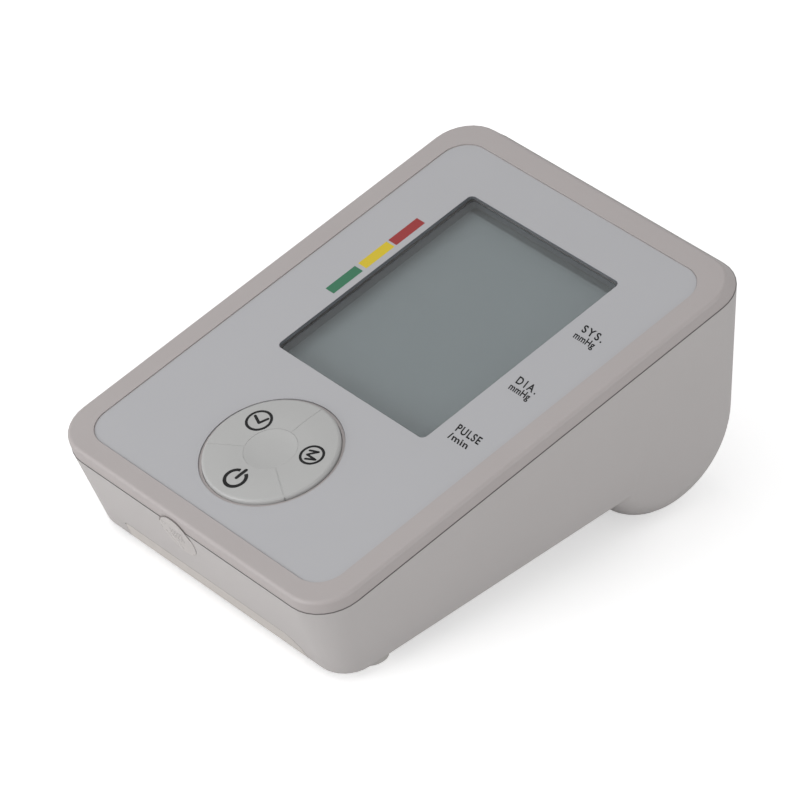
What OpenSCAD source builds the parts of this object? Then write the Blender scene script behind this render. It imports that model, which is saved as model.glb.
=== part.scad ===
// Desktop upper-arm blood pressure monitor: wedge case, inset face plate, display, three keys round a dished hub,
// air pump and valve in the rear roll, four cells behind a sliding door under the front.
// Millimetres, Z up, origin on the table below the middle of the case. X runs to the user's right, Y to the rear.

/* [Case] */
// Overall width
body_w = 99; // [96:0.5:110]
// Overall depth, front rim to rear wall
body_l = 134.5; // [132:0.5:140]
// Tilt of the face above the table, degrees
face_tilt = 15.4; // [14:0.2:17]
// Height of the face plate's front edge above the table
face_front_h = 28.1; // [27:0.1:32]
// Wall of the shells
wall = 2.2; // [1.8:0.1:2.6]
// Depth of the seam below the face
seam_depth = 3.6; // [3.4:0.1:5]
// Radius of the rim's edge
rim_edge_r = 1.0; // [0.7:0.1:2]
// Height of the rim above the face plate
rim_rise = 0.25; // [0:0.05:0.5]
// Width of the rim in front of the face plate
rim_front = 5.45; // [4.5:0.05:7]
// Corner radius of the rim
rim_corner_r = 10.5; // [9:0.5:13]
// Corner radius at the seam
seam_corner_r = 11; // [9.5:0.5:14]
// How much the upper shell stands back from the lower one at the seam
seam_step = 0.15; // [0:0.05:0.5]

/* [Underside] */
// Width of the underside
under_w = 92.6; // [90:0.2:95]
// Distance from the front of the case to the underside's front edge
under_setback = 9.55; // [8:0.05:11]
// Height of the underside's front edge
under_h = 1.2; // [1:0.1:2]
// Rise of the underside towards the rear, degrees
under_slope = 7.25; // [6.5:0.05:8]
// Corner radius of the underside
under_corner_r = 8; // [7:0.5:11]
// Edge radius of the underside
under_edge_r = 1.2; // [1:0.1:2]
// Radius of the rear roll
roll_r = 22.3; // [21.5:0.1:23]
// Height of the roll's lowest line
roll_h = 1.4; // [1:0.1:2]
// Edge radius of the roll's ends
roll_edge_r = 6; // [4:0.5:8]

/* [Face plate] */
// Width of the face plate
plate_w = 86.5; // [84:0.1:88]
// Length of the face plate
plate_l = 124.5; // [122:0.1:125]
// Corner radius of the face plate
plate_corner_r = 7; // [5:0.5:9]
// Thickness of the face plate
plate_t = 1.0; // [0.8:0.1:1.4]
// Gap round the face plate
plate_gap = 0.15; // [0.1:0.05:0.3]
// Thickness of the deck below the face plate
deck_t = 2.0; // [1.6:0.1:2.4]

/* [Display] */
// Width of the display window
window_w = 52.7; // [50:0.1:54]
// Length of the display window
window_l = 64.0; // [60:0.1:65]
// Distance from the plate's front edge to the window
window_v = 47.4; // [46.5:0.1:48]
// Thickness of the clear lens
lens_t = 1.0; // [0.8:0.1:1.2]
// Depth of the LCD glass below the face
lcd_depth = 4.5; // [4.3:0.1:5]
// Thickness of the LCD glass
lcd_t = 2.2; // [1.8:0.1:2.4]
// Margin of the LCD glass outside the window
lcd_margin = 1.6; // [1.4:0.1:1.8]
// Wall of the LCD frame
lcd_frame_wall = 1.2; // [1:0.1:1.4]

/* [Keys] */
// Radius of the round hole in the face plate
key_hole_r = 17.55; // [17.3:0.05:18]
// Radius of the ring of keys
key_r = 16.7; // [16.3:0.05:16.8]
// Distance from the plate's front edge to the middle of the keys
key_v = 22.8; // [22.5:0.1:23]
// Height of the keys above the face
key_rise = 0.9; // [0.5:0.05:1.2]
// Edge radius of the keys
key_edge_r = 0.8; // [0.4:0.05:1]
// Gap between neighbouring keys
key_gap = 0.3; // [0.25:0.05:0.4]
// Radius of the dished hub
hub_r = 6.3; // [5.5:0.1:7]
// Travel of a key
key_travel = 0.6; // [0.4:0.05:0.7]
// Distance of a key's stem from the middle of the keys
stem_ring_r = 11; // [10.5:0.1:11.5]
// Radius of a key's stem
stem_r = 2.0; // [1.8:0.05:2.2]
// Running clearance of a stem in its guide
stem_fit = 0.05; // [0.03:0.01:0.1]

/* [Board] */
// Depth of the board's upper face below the face plate's top
board_depth = 9.5; // [9.5:0.1:10]
// Thickness of the board
board_t = 1.6; // [1.2:0.1:1.6]
// Width of the board
board_w = 70; // [66:0.5:72]
// Length of the board
board_l = 120; // [118:0.5:121]

/* [Battery bay] */
// Radius of an AA cell
cell_r = 7.2; // [7:0.05:7.25]
// Length of an AA cell with its button
cell_l = 50.5; // [49.5:0.1:50.5]
// Distance between neighbouring cells
cell_pitch = 14.9; // [14.8:0.05:15]
// Length of the bay between its end walls
bay_w = 56; // [55:0.5:57]
// Distance from the underside's front edge to the bay
bay_front = 20.5; // [20.5:0.1:21]
// Middle of the door and bay, to the right of the case's middle
door_x = 1.15; // [0.5:0.05:1.5]
// Width of the door
door_w = 65.3; // [65:0.1:66]
// Thickness of the door
door_t = 2.0; // [1.8:0.1:2]
// Height of the door's front flange
flange_h = 5.5; // [4.5:0.1:6.5]
// Radius of the flange's right end
flange_end_r = 7; // [3:0.5:7]
// Gap round the door
door_gap = 0.15; // [0.1:0.05:0.25]
// Travel of the door until its hooks come free
door_travel = 7; // [6:0.1:7]

/* [Pump] */
// Radius of the motor
motor_r = 12; // [11.5:0.1:12]
// Length of the motor
motor_l = 30; // [28:0.5:30]
// Radius of the pump's housing
pump_r = 13; // [12.8:0.1:13.4]
// Length of the pump's housing
pump_l = 16; // [15:0.5:16]
// Height of the pump's axis
pump_h = 18; // [17.5:0.1:18.5]
// Radius of the motor's shaft
shaft_r = 1.0; // [0.8:0.05:1.2]
// Thickness of the foam sleeve
sleeve_t = 1.4; // [1:0.1:1.5]

/* [Air line] */
// Outer radius of a hose
hose_r = 3.0; // [2.8:0.1:3.2]
// Radius of a nipple, and of the hose's bore round it
nipple_r = 1.8; // [1.6:0.05:2]
// Radius of an air passage
air_r = 0.8; // [0.6:0.05:1]
// Radius of the cuff socket's bore
socket_bore_r = 2.75; // [2.5:0.05:3]
// Length of the cuff socket's bore
socket_bore_l = 12; // [10:0.5:12]
// Height of the cuff socket
socket_h = 36; // [35:0.5:38]
// Travel of the valve's plunger
plunger_travel = 0.8; // [0.5:0.05:1]

/* [Feet and screws] */
// Radius of a foot
foot_r = 5; // [4:0.1:5]
// Radius of a case screw's head
screw_head_r = 2.6; // [2.4:0.05:2.8]
// Radius of a case screw's thread
screw_r = 1.3; // [1.2:0.05:1.4]

/* [Hidden] */
$fn = 64;
hull_fn = 32;
eps = 0.01;
far = 200;

// Face frame: x right, y up the slope from the plate's front edge, z out of the face.
plate_half = plate_w / 2;
rim_side = body_w / 2 - 0.1 - plate_half;
front_reach = (rim_front - rim_edge_r) * cos(face_tilt) - (rim_edge_r - rim_rise) * sin(face_tilt) + rim_edge_r;
face_y = -body_l / 2 + front_reach;
rear_y = body_l / 2;
seam_front = rim_front + 0.1;
seam_rear = (rear_y - face_y - seam_depth * sin(face_tilt)) / cos(face_tilt);
rim_rear = seam_rear - 2.3;
deck_top = -plate_t;
deck_low = deck_top - deck_t;

// Underside frame: x right, y along the underside from its front edge, z inwards.
under_half = under_w / 2;
under_y = -body_l / 2 + under_setback;
under_l = 104;
roll_y = rear_y - roll_r;
roll_z = roll_h + roll_r;
roll_half = under_half;

// Front wall: it touches the underside's rounded edge and ends at the seam.
seam_front_y = face_y - seam_front * cos(face_tilt) + seam_depth * sin(face_tilt);
seam_front_z = face_front_h - seam_front * sin(face_tilt) - seam_depth * cos(face_tilt);
edge_y = under_y + under_edge_r * (cos(under_slope) - sin(under_slope));
edge_z = under_h + under_edge_r * (sin(under_slope) + cos(under_slope));
edge_to_seam = norm([edge_y - seam_front_y, seam_front_z - edge_z]);
wall_lean = atan((edge_y - seam_front_y) / (seam_front_z - edge_z)) - asin(under_edge_r / edge_to_seam);
wall_h = sqrt(edge_to_seam * edge_to_seam - under_edge_r * under_edge_r);
wall_foot_y = edge_y - under_edge_r * cos(wall_lean);
wall_foot_z = edge_z - under_edge_r * sin(wall_lean);

// Window, lens and LCD.
window_mid = window_v + window_l / 2;
window_corner_r = 1.5;
lens_w = window_w + 4;
lens_l = window_l + 4;
lens_gap = 0.15;
view_gap = 0.3;
lcd_w = window_w + 2 * lcd_margin;
lcd_l = window_l + 2 * lcd_margin;
lcd_low = -lcd_depth - lcd_t;
strip_w = 2.2;
strip_l = lcd_w - 6;

// Keys, their carrier and their switches.
key_well_r = key_r + 0.3;
flange_r = key_r + 1.6;
flange_low = deck_low - 1.0;
carrier_top = flange_low - key_travel - 0.1;
carrier_t = 1.0;
carrier_low = carrier_top - carrier_t;
carrier_r = flange_r + 1.5;
ear_ring_r = flange_r + 3.1;
ear_r = 3;
stake_r = 1.1;
stem_low = carrier_low - 0.6;
switch_w = 6;
switch_stem_r = 1.75;
switch_stem_rise = 0.9;
switch_top = stem_low - switch_stem_rise;
board_top = -board_depth;
board_low = board_top - board_t;
board_front = 4;
board_mid = board_front + board_l / 2;
hub_low = key_rise - 2.4;
hub_pin_r = 1.2;
key_angles = [270, 30, 150];
ear_angles = [30, 150, 210, 330];

// Board fixings and parts.
board_boss_x = 31;
board_boss_v = [board_front + 4.5, board_front + board_l - 4.5];
board_boss_r = 3;
board_screw_r = 0.9;
pin_fit = 0.02;
connector_x = 30;
connector_v = 100;
connector_h = 5;
buzzer_x = 18;
buzzer_v = 108;
buzzer_r = 6;
buzzer_h = 5.5;

// Case screws, along the face's normal.
case_screw_x = board_w / 2 + 5;
case_screw_v = [30, 70];
screw_head_seat = -14;
post_top = -12;
post_r = 4.2;

// Battery bay.
bay_roof_gap = 0.1;
cell_z = door_t + 0.5 + cell_r;
bay_wall = 1.5;
bay_rear = bay_front + 3 * cell_pitch + 2 * cell_r + 0.9;
bay_roof = cell_z + cell_r + bay_roof_gap;
first_cell = bay_front + 0.35 + cell_r;
ledge_low = door_t + door_gap;
ledge_t = 1.5;
ledge_top = ledge_low + ledge_t;
door_rear = bay_rear + bay_wall;
hook_x = bay_w / 2 + bay_wall + 1.3;
hook_ys = [bay_front + 9.5, bay_rear - 12.5];
hook_web = 0.8;
hook_head = 1.8;
hook_l = 6;
contact_t = 0.4;
tab_reach = 2.35;
lead_r = 0.6;
lead_sides = 8;
lead_gap = 0.3;

// Pump and air line.
line_y = roll_y + 1;
motor_x0 = 8;
motor_x1 = motor_x0 + motor_l;
pump_x0 = motor_x0 - pump_l;
diaphragm_t = 1.5;
cover_l = 7.5;
cover_x0 = pump_x0 - diaphragm_t - cover_l;
nozzle_l = 5;
crank_r = 6;
crank_t = 4;
crank_x1 = motor_x0 - 5;
clamp_x = motor_x0 + motor_l / 2;
clamp_w = 7;
clamp_t = 1.5;
clamp_post_r = 2.5;
clamp_reach = motor_r + sleeve_t + 3.3;
clamp_post_ys = [line_y - clamp_reach, line_y + clamp_reach];
clamp_ear_end = 1.4;
clamp_head_r = 1.6;
sleeve_fit = 0.05;
clamp_screw_l = 4;
socket_x = -roll_half + 9.3;
block_x0 = socket_x - 4;
block_x1 = socket_x + 8.6;
block_z0 = 14;
block_z1 = 24.7;
block_half = 3.5;
nipple_l = 3.2;
sensor_x = block_x1 - 2.2;
hose_seat = 0.3;
hose_fit = 0.02;
hose_colour = "#b7c0bd";
valve_z = 22.3;
valve_x = socket_x;
valve_y0 = line_y - 26.5;
valve_y1 = line_y - 14;
valve_half = 6.6;
valve_plate = 1.2;
coil_r = 5.2;
plunger_r = 1.8;
plunger_out = plunger_travel + 0.3;

// Sensor: the manifold's last nipple leans with the face, so a straight hose meets the board square.
sensor_h = 4.5;
sensor_v = (line_y - face_y) * cos(face_tilt) + (block_z1 - face_front_h) * sin(face_tilt);
lean_n = -(line_y - face_y) * sin(face_tilt) + (block_z1 - face_front_h) * cos(face_tilt);
lean_hose_n = lean_n + hose_seat + hose_r * sin(face_tilt);
sensor_hose_top = board_low - sensor_h - hose_seat;
sensor_tip = sensor_hose_top - nipple_l + hose_seat;

// Cuff socket in the left wall.
socket_seat_x = -roll_half + 2.8;
socket_face_x = -roll_half - 1.3;
socket_r = 5.5;
socket_flange_r = 7.5;
socket_barrel_r = 4;

// DC socket in the rear wall.
jack_x = -14;
jack_z = 40;
jack_w = 9;
jack_h = 10;
jack_l = 13;
jack_nose_r = 4.4;
jack_bore_r = 2.8;

// Feet.
foot_clear = 0.65;
front_foot_x = door_x + door_w / 2 + door_gap + foot_clear + foot_r;
rear_foot_inset = 16.3;
front_foot_y = under_y + 12.8;
front_foot_top = 3.4;
rear_foot_x = roll_half - rear_foot_inset;
rear_foot_top = roll_h + 1.2;
foot_gap = 0.1;

// ---------- frames ----------

module on_face() {
    translate([0, face_y, face_front_h]) rotate([face_tilt, 0, 0]) children();
}

module on_underside() {
    translate([0, under_y, under_h]) rotate([under_slope, 0, 0]) children();
}

module on_front_wall() {
    translate([0, wall_foot_y, wall_foot_z]) rotate([wall_lean, 0, 0]) children();
}

module at_keys() {
    on_face() translate([0, key_v, 0]) children();
}

module along_x() {
    rotate([0, 90, 0]) children();
}

function face_point(x, v, n) = [
    x,
    face_y + v * cos(face_tilt) - n * sin(face_tilt),
    face_front_h + v * sin(face_tilt) + n * cos(face_tilt)
];

function under_point(x, y, z) = [
    x,
    under_y + y * cos(under_slope) - z * sin(under_slope),
    under_h + y * sin(under_slope) + z * cos(under_slope)
];

// ---------- shared shapes ----------

// Flat outline with round corners: half width, front and rear edges, corner radius.
module round_outline(half, front, rear, r) {
    translate([-half + r, front]) square([2 * (half - r), rear - front]);
    translate([-half, front + r]) square([2 * half, rear - front - 2 * r]);
    for (x = [-half + r, half - r], y = [front + r, rear - r]) translate([x, y]) circle(r);
}

module slab(half, front, rear, r, low, high) {
    translate([0, 0, low]) linear_extrude(high - low) round_outline(half, front, rear, r);
}

module ring(outer_r, inner_r, low, high) {
    translate([0, 0, low]) difference() {
        cylinder(r = outer_r, h = high - low);
        translate([0, 0, -1]) cylinder(r = inner_r, h = high - low + 2);
    }
}

// Four corner rings that a hull turns into a plate with round edges.
module round_corners(half, front, rear, r, edge) {
    for (x = [-half + r, half - r], y = [front + r, rear - r])
        translate([x, y, 0]) rotate_extrude($fn = hull_fn) translate([r - edge, 0]) circle(edge, $fn = hull_fn);
}

// A tube along a list of points, as one closed skin. Its rings are carried along the way without twist.
function carry(side, d) = let (flat = side - (side * d) * d) flat / norm(flat);

function ring_at(p, d, side, r, sides) = let (up = cross(side, d))
    [for (k = [0 : sides - 1]) p + r * (cos(k * 360 / sides) * side + sin(k * 360 / sides) * up)];

module tube(points, r, sides) {
    last = len(points) - 1;
    ways = [for (i = [0 : last])
        let (way = points[min(i + 1, last)] - points[max(i - 1, 0)]) way / norm(way)];
    first = carry(abs(ways[0][2]) < 0.8 ? [0, 0, 1] : [1, 0, 0], ways[0]);
    ring_sides = [for (i = 0, side = first; i <= last; i = i + 1, side = carry(side, ways[min(i, last)])) side];
    skin = [for (i = [0 : last]) each ring_at(points[i], ways[i], ring_sides[i], r, sides)];
    walls = [for (i = [0 : last - 1], k = [0 : sides - 1])
        let (a = i * sides + k, b = i * sides + (k + 1) % sides)
        each [[a, b, a + sides], [b, b + sides, a + sides]]];
    start = [[for (k = [sides - 1 : -1 : 0]) k]];
    end = [[for (k = [0 : sides - 1]) last * sides + k]];
    polyhedron(skin, concat(walls, start, end));
}

// Points on smooth arcs between the given points (Catmull-Rom).
function spline_at(p, i, t) =
    let (n = len(p) - 1,
         a = p[max(i - 1, 0)],
         b = p[i],
         c = p[i + 1],
         d = p[min(i + 2, n)])
    0.5 * (2 * b + (c - a) * t + (2 * a - 5 * b + 4 * c - d) * t * t + (3 * b - a - 3 * c + d) * t * t * t);

function smooth(p, steps) = concat(
    [for (i = [0 : len(p) - 2], s = [0 : steps - 1]) spline_at(p, i, s / steps)],
    [p[len(p) - 1]]
);

// ---------- outer forms of the case ----------

// The wedge from the seam to the underside, drawn in by inset.
module wedge_form(inset, top) {
    hull() {
        on_face() slab(body_w / 2 - inset, -seam_front + inset, seam_rear - inset,
                       seam_corner_r - inset, top - eps, top, $fn = hull_fn);
        on_underside() translate([0, 0, inset + under_edge_r])
            round_corners(under_half - inset, inset, under_l - inset, under_corner_r - inset, under_edge_r);
    }
}

// The rear roll and the wall above it, drawn in by inset.
module roll_form(inset, top) {
    edge = roll_edge_r - inset;
    hull() {
        on_face() slab(body_w / 2 - inset, seam_rear * 0.7, seam_rear - inset,
                       seam_corner_r - inset, top - eps, top, $fn = hull_fn);
        for (side = [-1, 1]) translate([side * (roll_half - inset - edge), roll_y, roll_z]) along_x()
            rotate_extrude($fn = 2 * hull_fn) translate([roll_r - inset - edge, 0]) circle(edge, $fn = hull_fn);
    }
}

// Front view of the door: flange on the front wall with one wide and one tight corner.
module door_outline(grow) {
    half = door_w / 2 + grow;
    high = flange_h + grow;
    left_r = 1;
    translate([door_x, 0]) difference() {
        translate([-half, -10]) square([2 * half, high + 10]);
        translate([half - flange_end_r, high - flange_end_r]) difference() {
            square(flange_end_r + 1);
            circle(flange_end_r);
        }
        translate([-half + left_r, high - left_r]) difference() {
            translate([-left_r - 1, 0]) square(left_r + 1);
            circle(left_r);
        }
    }
}

// Room that the door fills: the outline swept through the front wall, and a panel behind it that is just narrow
// enough to slide out under the flange's round end.
module door_room(grow) {
    panel_front = door_t + 0.6;
    end_drop = door_t + flange_end_r - flange_h;
    panel_inset = flange_end_r - sqrt(flange_end_r * flange_end_r - end_drop * end_drop) + 0.1;
    on_underside() {
        translate([0, panel_front + eps, 0]) rotate([90, 0, 0]) linear_extrude(panel_front + 15) door_outline(grow);
        translate([door_x - door_w / 2 - grow, panel_front, -10])
            cube([door_w + 2 * grow - panel_inset, door_rear + grow - panel_front, 10 + ledge_low]);
    }
}

// The skin of the case at its underside and front wall, down to a depth.
module door_skin(depth) {
    on_underside() translate([-far / 2, 0, -far / 2]) cube([far, far, far / 2 + depth]);
    on_front_wall() translate([-far / 2, -5, -12]) cube([far, 5 + depth, flange_h + 20]);
}

// ---------- case ----------

module top_shell() {
    color("#bdb5b3") difference() {
        union() {
            on_face() hull() {
                slab(body_w / 2 - seam_step, -seam_front + seam_step, seam_rear - seam_step,
                     seam_corner_r - seam_step, -seam_depth, -seam_depth + eps, $fn = hull_fn);
                translate([0, 0, rim_rise - rim_edge_r])
                    round_corners(plate_half + rim_side, -rim_front, rim_rear, rim_corner_r, rim_edge_r);
            }
            on_face() slab(body_w / 2 - wall - 0.6, -seam_front + wall + 0.8, seam_rear - wall - 0.9,
                           seam_corner_r - wall - 0.6, -seam_depth - 1.5, -seam_depth + 1);
        }
        on_face() {
            difference() {
                slab(body_w / 2 - wall - 1.6, -seam_front + wall + 1.8, seam_rear - wall - 1.9,
                     seam_corner_r - wall - 1.6, -seam_depth - 2, deck_low);
                top_shell_posts();
            }
            slab(plate_half + plate_gap, -plate_gap, plate_l + plate_gap, plate_corner_r + plate_gap, deck_top, 5);
            translate([0, window_mid, 0]) {
                slab(lens_w / 2 + lens_gap, -lens_l / 2 - lens_gap, lens_l / 2 + lens_gap,
                     window_corner_r + 1, deck_top - lens_t, 0);
                slab(window_w / 2 + view_gap, -window_l / 2 - view_gap, window_l / 2 + view_gap,
                     window_corner_r, deck_low - 1, 0);
            }
            translate([0, key_v, deck_low - 1]) cylinder(r = key_well_r, h = deck_t + 3);
            for (x = [-board_boss_x, board_boss_x], v = board_boss_v)
                translate([x, v, board_top - 1]) cylinder(r = board_screw_r + pin_fit, h = 6, $fn = 24);
            for (x = [-case_screw_x, case_screw_x], v = case_screw_v)
                translate([x, v, post_top - 1]) cylinder(r = screw_r + pin_fit, h = 8, $fn = 24);
        }
    }
    color("#bdb5b3") on_face() for (a = ear_angles) rotate_about_keys(a)
        translate([ear_ring_r, 0, carrier_low - 0.6]) cylinder(r = stake_r, h = deck_low - carrier_low + 0.6 + eps);
}

module rotate_about_keys(a) {
    translate([0, key_v, 0]) rotate([0, 0, a]) children();
}

// Posts that hang from the deck: board bosses, screw bosses, key carrier posts.
module top_shell_posts() {
    for (x = [-board_boss_x, board_boss_x], v = board_boss_v)
        translate([x, v, board_top]) cylinder(r = board_boss_r, h = far / 10);
    for (x = [-case_screw_x, case_screw_x], v = case_screw_v)
        translate([x, v, post_top]) cylinder(r = post_r - 1, h = far / 10);
    for (a = ear_angles) rotate_about_keys(a)
        translate([ear_ring_r, 0, carrier_top]) cylinder(r = stake_r + 0.9, h = far / 10);
}

module face_plate() {
    color("#c3c5c8") on_face() difference() {
        slab(plate_half, 0, plate_l, plate_corner_r, deck_top, 0);
        translate([0, window_mid, 0])
            slab(window_w / 2, -window_l / 2, window_l / 2, window_corner_r, deck_top - 1, 1);
        translate([0, key_v, deck_top - 1]) cylinder(r = key_hole_r, h = plate_t + 2);
    }
}

module window_lens() {
    color("#dfe6e8", 0.4) on_face() translate([0, window_mid, 0])
        slab(lens_w / 2, -lens_l / 2, lens_l / 2, window_corner_r + 0.9, deck_top - lens_t, deck_top);
}

module bottom_shell() {
    color("#cfc9c6") difference() {
        union() {
            wedge_form(0, -seam_depth);
            roll_form(0, -seam_depth);
        }
        difference() {
            union() {
                wedge_form(wall, -seam_depth + 0.1);
                roll_form(wall, -seam_depth + 0.1);
            }
            bottom_shell_inside();
        }
        bottom_shell_cuts();
    }
}

// Everything that stands on the inside of the lower shell.
module bottom_shell_inside() {
    on_face() for (x = [-case_screw_x, case_screw_x], v = case_screw_v)
        translate([x, v, post_top - 60]) cylinder(r = post_r, h = 60);
    on_underside() translate([door_x, 0, 0]) {
        translate([-bay_w / 2 - bay_wall, bay_front - bay_wall, -1])
            cube([bay_w + 2 * bay_wall, bay_rear - bay_front + 2 * bay_wall, bay_roof + bay_wall + 1]);
        translate([-door_w / 2 - 2.5, 0, -1]) cube([door_w + 5, door_rear + 2, ledge_top + 1]);
    }
    on_front_wall() translate([door_x - door_w / 2 - 1.8, ledge_low, -5])
        cube([door_w + 3.6, ledge_t, flange_h + 8]);
    for (x = [motor_x0 + 3, motor_x1 - 5]) translate([x, line_y - pump_r - 4, 0])
        cube([2, 2 * pump_r + 8, pump_h]);
    for (y = clamp_post_ys) translate([clamp_x, y, 0]) cylinder(r = clamp_post_r, h = pump_h);
    translate([block_x0 + 1, line_y - 1.5, 0]) cube([block_x1 - block_x0 - 4, 3, block_z0]);
    for (y = [valve_y0 + 4, valve_y1 - 4]) translate([valve_x - 4, y, 0]) cube([8, 2, valve_z - valve_half]);
    translate([-far / 2, line_y, socket_h]) along_x() cylinder(r = socket_flange_r + 1, h = far / 2 + socket_seat_x);
}

module bottom_shell_cuts() {
    door_opening();
    on_underside() translate([door_x, 0, 0]) {
        translate([-bay_w / 2, bay_front, -2]) cube([bay_w, bay_rear - bay_front, bay_roof + 2]);
        for (side = [-1, 1], y = hook_ys) {
            translate([side * hook_x - hook_web / 2 - 0.15, y - door_travel - 0.2, 0])
                cube([hook_web + 0.3, hook_l + door_travel + 0.4, ledge_top + 1]);
            translate([side * hook_x - hook_head / 2 - 0.2, y - door_travel - 0.2, 0])
                cube([hook_head + 0.4, hook_l + 0.2, ledge_top + 1]);
        }
        for (i = [0, 3]) translate([bay_w / 2 - 1, first_cell + i * cell_pitch - 1.7, cell_z - 0.4])
            cube([bay_wall + 2, 3.4, 0.8]);
    }
    on_face() for (x = [-case_screw_x, case_screw_x], v = case_screw_v) translate([x, v, 0]) {
        translate([0, 0, screw_head_seat - 60]) cylinder(r = screw_head_r + 0.3, h = 60);
        translate([0, 0, screw_head_seat - 1]) cylinder(r = screw_r + 0.15, h = 5, $fn = 24);
    }
    translate([clamp_x, 0, pump_h - clamp_screw_l - 0.2]) for (y = clamp_post_ys) translate([0, y, 0])
        cylinder(r = board_screw_r + pin_fit, h = 6, $fn = 24);
    translate([motor_x0 - 2, line_y, pump_h]) along_x() cylinder(r = motor_r + sleeve_t + sleeve_fit, h = motor_l + 4);
    translate([-far, line_y, socket_h]) along_x() cylinder(r = socket_r + 0.1, h = far + socket_seat_x + 3.5);
    translate([jack_x, 0, jack_z]) rotate([-90, 0, 0]) cylinder(r = jack_nose_r + 0.1, h = far);
    for (side = [-1, 1]) {
        translate([side * front_foot_x, front_foot_y, -1]) cylinder(r = foot_r + foot_gap, h = front_foot_top + 1);
        translate([side * rear_foot_x, roll_y, -1]) cylinder(r = foot_r + foot_gap, h = rear_foot_top + 1);
    }
}

// Opening for the door: the panel's room down to the ledge, the flange's room down to the slanted backing.
module door_opening() {
    intersection() {
        door_room(door_gap);
        door_skin(ledge_low);
    }
}

module battery_door() {
    color("#cbc6c1") {
        intersection() {
            wedge_form(0, -seam_depth);
            door_room(0);
            door_skin(door_t);
        }
        on_underside() translate([door_x, 0, 0]) for (side = [-1, 1], y = hook_ys) {
            translate([side * hook_x - hook_web / 2, y, door_t - 0.5]) cube([hook_web, hook_l, ledge_top - door_t + 1.5]);
            translate([side * hook_x - hook_head / 2, y, ledge_top + 0.1]) cube([hook_head, hook_l, 0.9]);
        }
    }
}

module seal_film() {
    film_r = 6;
    film_t = 0.15;
    film_lift = 0.03;
    below_seam = 3.85;
    color("#d9d6d2", 0.5) on_front_wall()
        translate([-4.3, -film_lift, wall_h - below_seam]) rotate([90, 0, 0])
            intersection() {
                cylinder(r = film_r, h = film_t);
                translate([-film_r, -film_r, 0]) cube([2 * film_r, film_r + below_seam, film_t]);
            }
}

module foot(x, y, top) {
    color("#8f8f8f") translate([x, y, 0]) rotate_extrude() polygon([
        [0, 0], [foot_r - 0.6, 0], [foot_r, 0.6], [foot_r, top], [0, top]
    ]);
}

module front_foot_left() {
    foot(-front_foot_x, front_foot_y, front_foot_top);
}

module front_foot_right() {
    foot(front_foot_x, front_foot_y, front_foot_top);
}

module rear_foot_left() {
    foot(-rear_foot_x, roll_y, rear_foot_top);
}

module rear_foot_right() {
    foot(rear_foot_x, roll_y, rear_foot_top);
}

// ---------- keys ----------

// Cross section of the ring of keys, from the hub's gap to the rim.
module key_section() {
    inner = hub_r + key_gap;
    crown = 0.25;
    arc = [for (a = [0 : 15 : 90])
        [key_r - key_edge_r + key_edge_r * cos(a), key_rise - key_edge_r + key_edge_r * sin(a)]];
    polygon(concat(
        [[inner, flange_low], [flange_r, flange_low], [flange_r, deck_low], [key_r, deck_low]],
        arc,
        [[key_r * 0.75, key_rise + crown * 0.8], [key_r * 0.6, key_rise + crown], [inner, key_rise + crown * 0.6]]
    ));
}

module key(angle) {
    offset_in = key_gap / 2 / sin(60);
    color("#c6c6c8") at_keys() rotate([0, 0, angle]) {
        intersection() {
            rotate_extrude() key_section();
            translate([offset_in, 0, flange_low - 1]) linear_extrude(8)
                polygon([[0, 0], [far * cos(60), far * sin(60)], [far, 0], [far * cos(60), -far * sin(60)]]);
        }
        translate([stem_ring_r, 0, stem_low]) cylinder(r = stem_r, h = flange_low - stem_low + eps);
    }
}

module power_key() {
    key(key_angles[0]);
}

module memory_key() {
    key(key_angles[1]);
}

module clock_key() {
    key(key_angles[2]);
}

module key_carrier() {
    post_r = 2.5;
    color("#d5d5d2") at_keys() difference() {
        union() {
            translate([0, 0, carrier_low]) cylinder(r = carrier_r, h = carrier_t);
            for (a = ear_angles) rotate([0, 0, a]) {
                translate([ear_ring_r, 0, carrier_low]) cylinder(r = ear_r, h = carrier_t);
                translate([0, -ear_r, carrier_low]) cube([ear_ring_r, 2 * ear_r, carrier_t]);
            }
            translate([0, 0, carrier_top - eps]) cylinder(r = post_r, h = hub_low - carrier_top + eps);
        }
        for (a = key_angles) rotate([0, 0, a])
            translate([stem_ring_r, 0, carrier_low - 1]) cylinder(r = stem_r + stem_fit, h = carrier_t + 2);
        for (a = ear_angles) rotate([0, 0, a])
            translate([ear_ring_r, 0, carrier_low - 1]) cylinder(r = stake_r + 0.03, h = carrier_t + 2);
        translate([0, 0, hub_low - 2]) cylinder(r = hub_pin_r + 0.03, h = 3, $fn = 24);
    }
}

module key_hub() {
    dish = 0.45;
    top = key_rise - 0.05;
    ball_r = (hub_r * hub_r + dish * dish) / 2 / dish;
    hollow = [for (i = [6 : -1 : 0]) let (r = (hub_r - 0.4) * i / 6)
        [r, top - dish + ball_r - sqrt(ball_r * ball_r - r * r)]];
    color("#c2c3c4") at_keys() {
        rotate_extrude() polygon(concat([[0, hub_low], [hub_r, hub_low], [hub_r, top - 0.4]], hollow));
        translate([0, 0, hub_low - 1.8]) cylinder(r = hub_pin_r, h = 1.8 + eps, $fn = 24);
    }
}

module switch_body(angle) {
    color("#3a3a3c") at_keys() rotate([0, 0, angle]) translate([stem_ring_r, 0, 0]) difference() {
        translate([-switch_w / 2, -switch_w / 2, board_top]) cube([switch_w, switch_w, switch_top - board_top]);
        translate([0, 0, board_top + 0.2]) cylinder(r = switch_stem_r + stem_fit, h = 5);
    }
}

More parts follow.
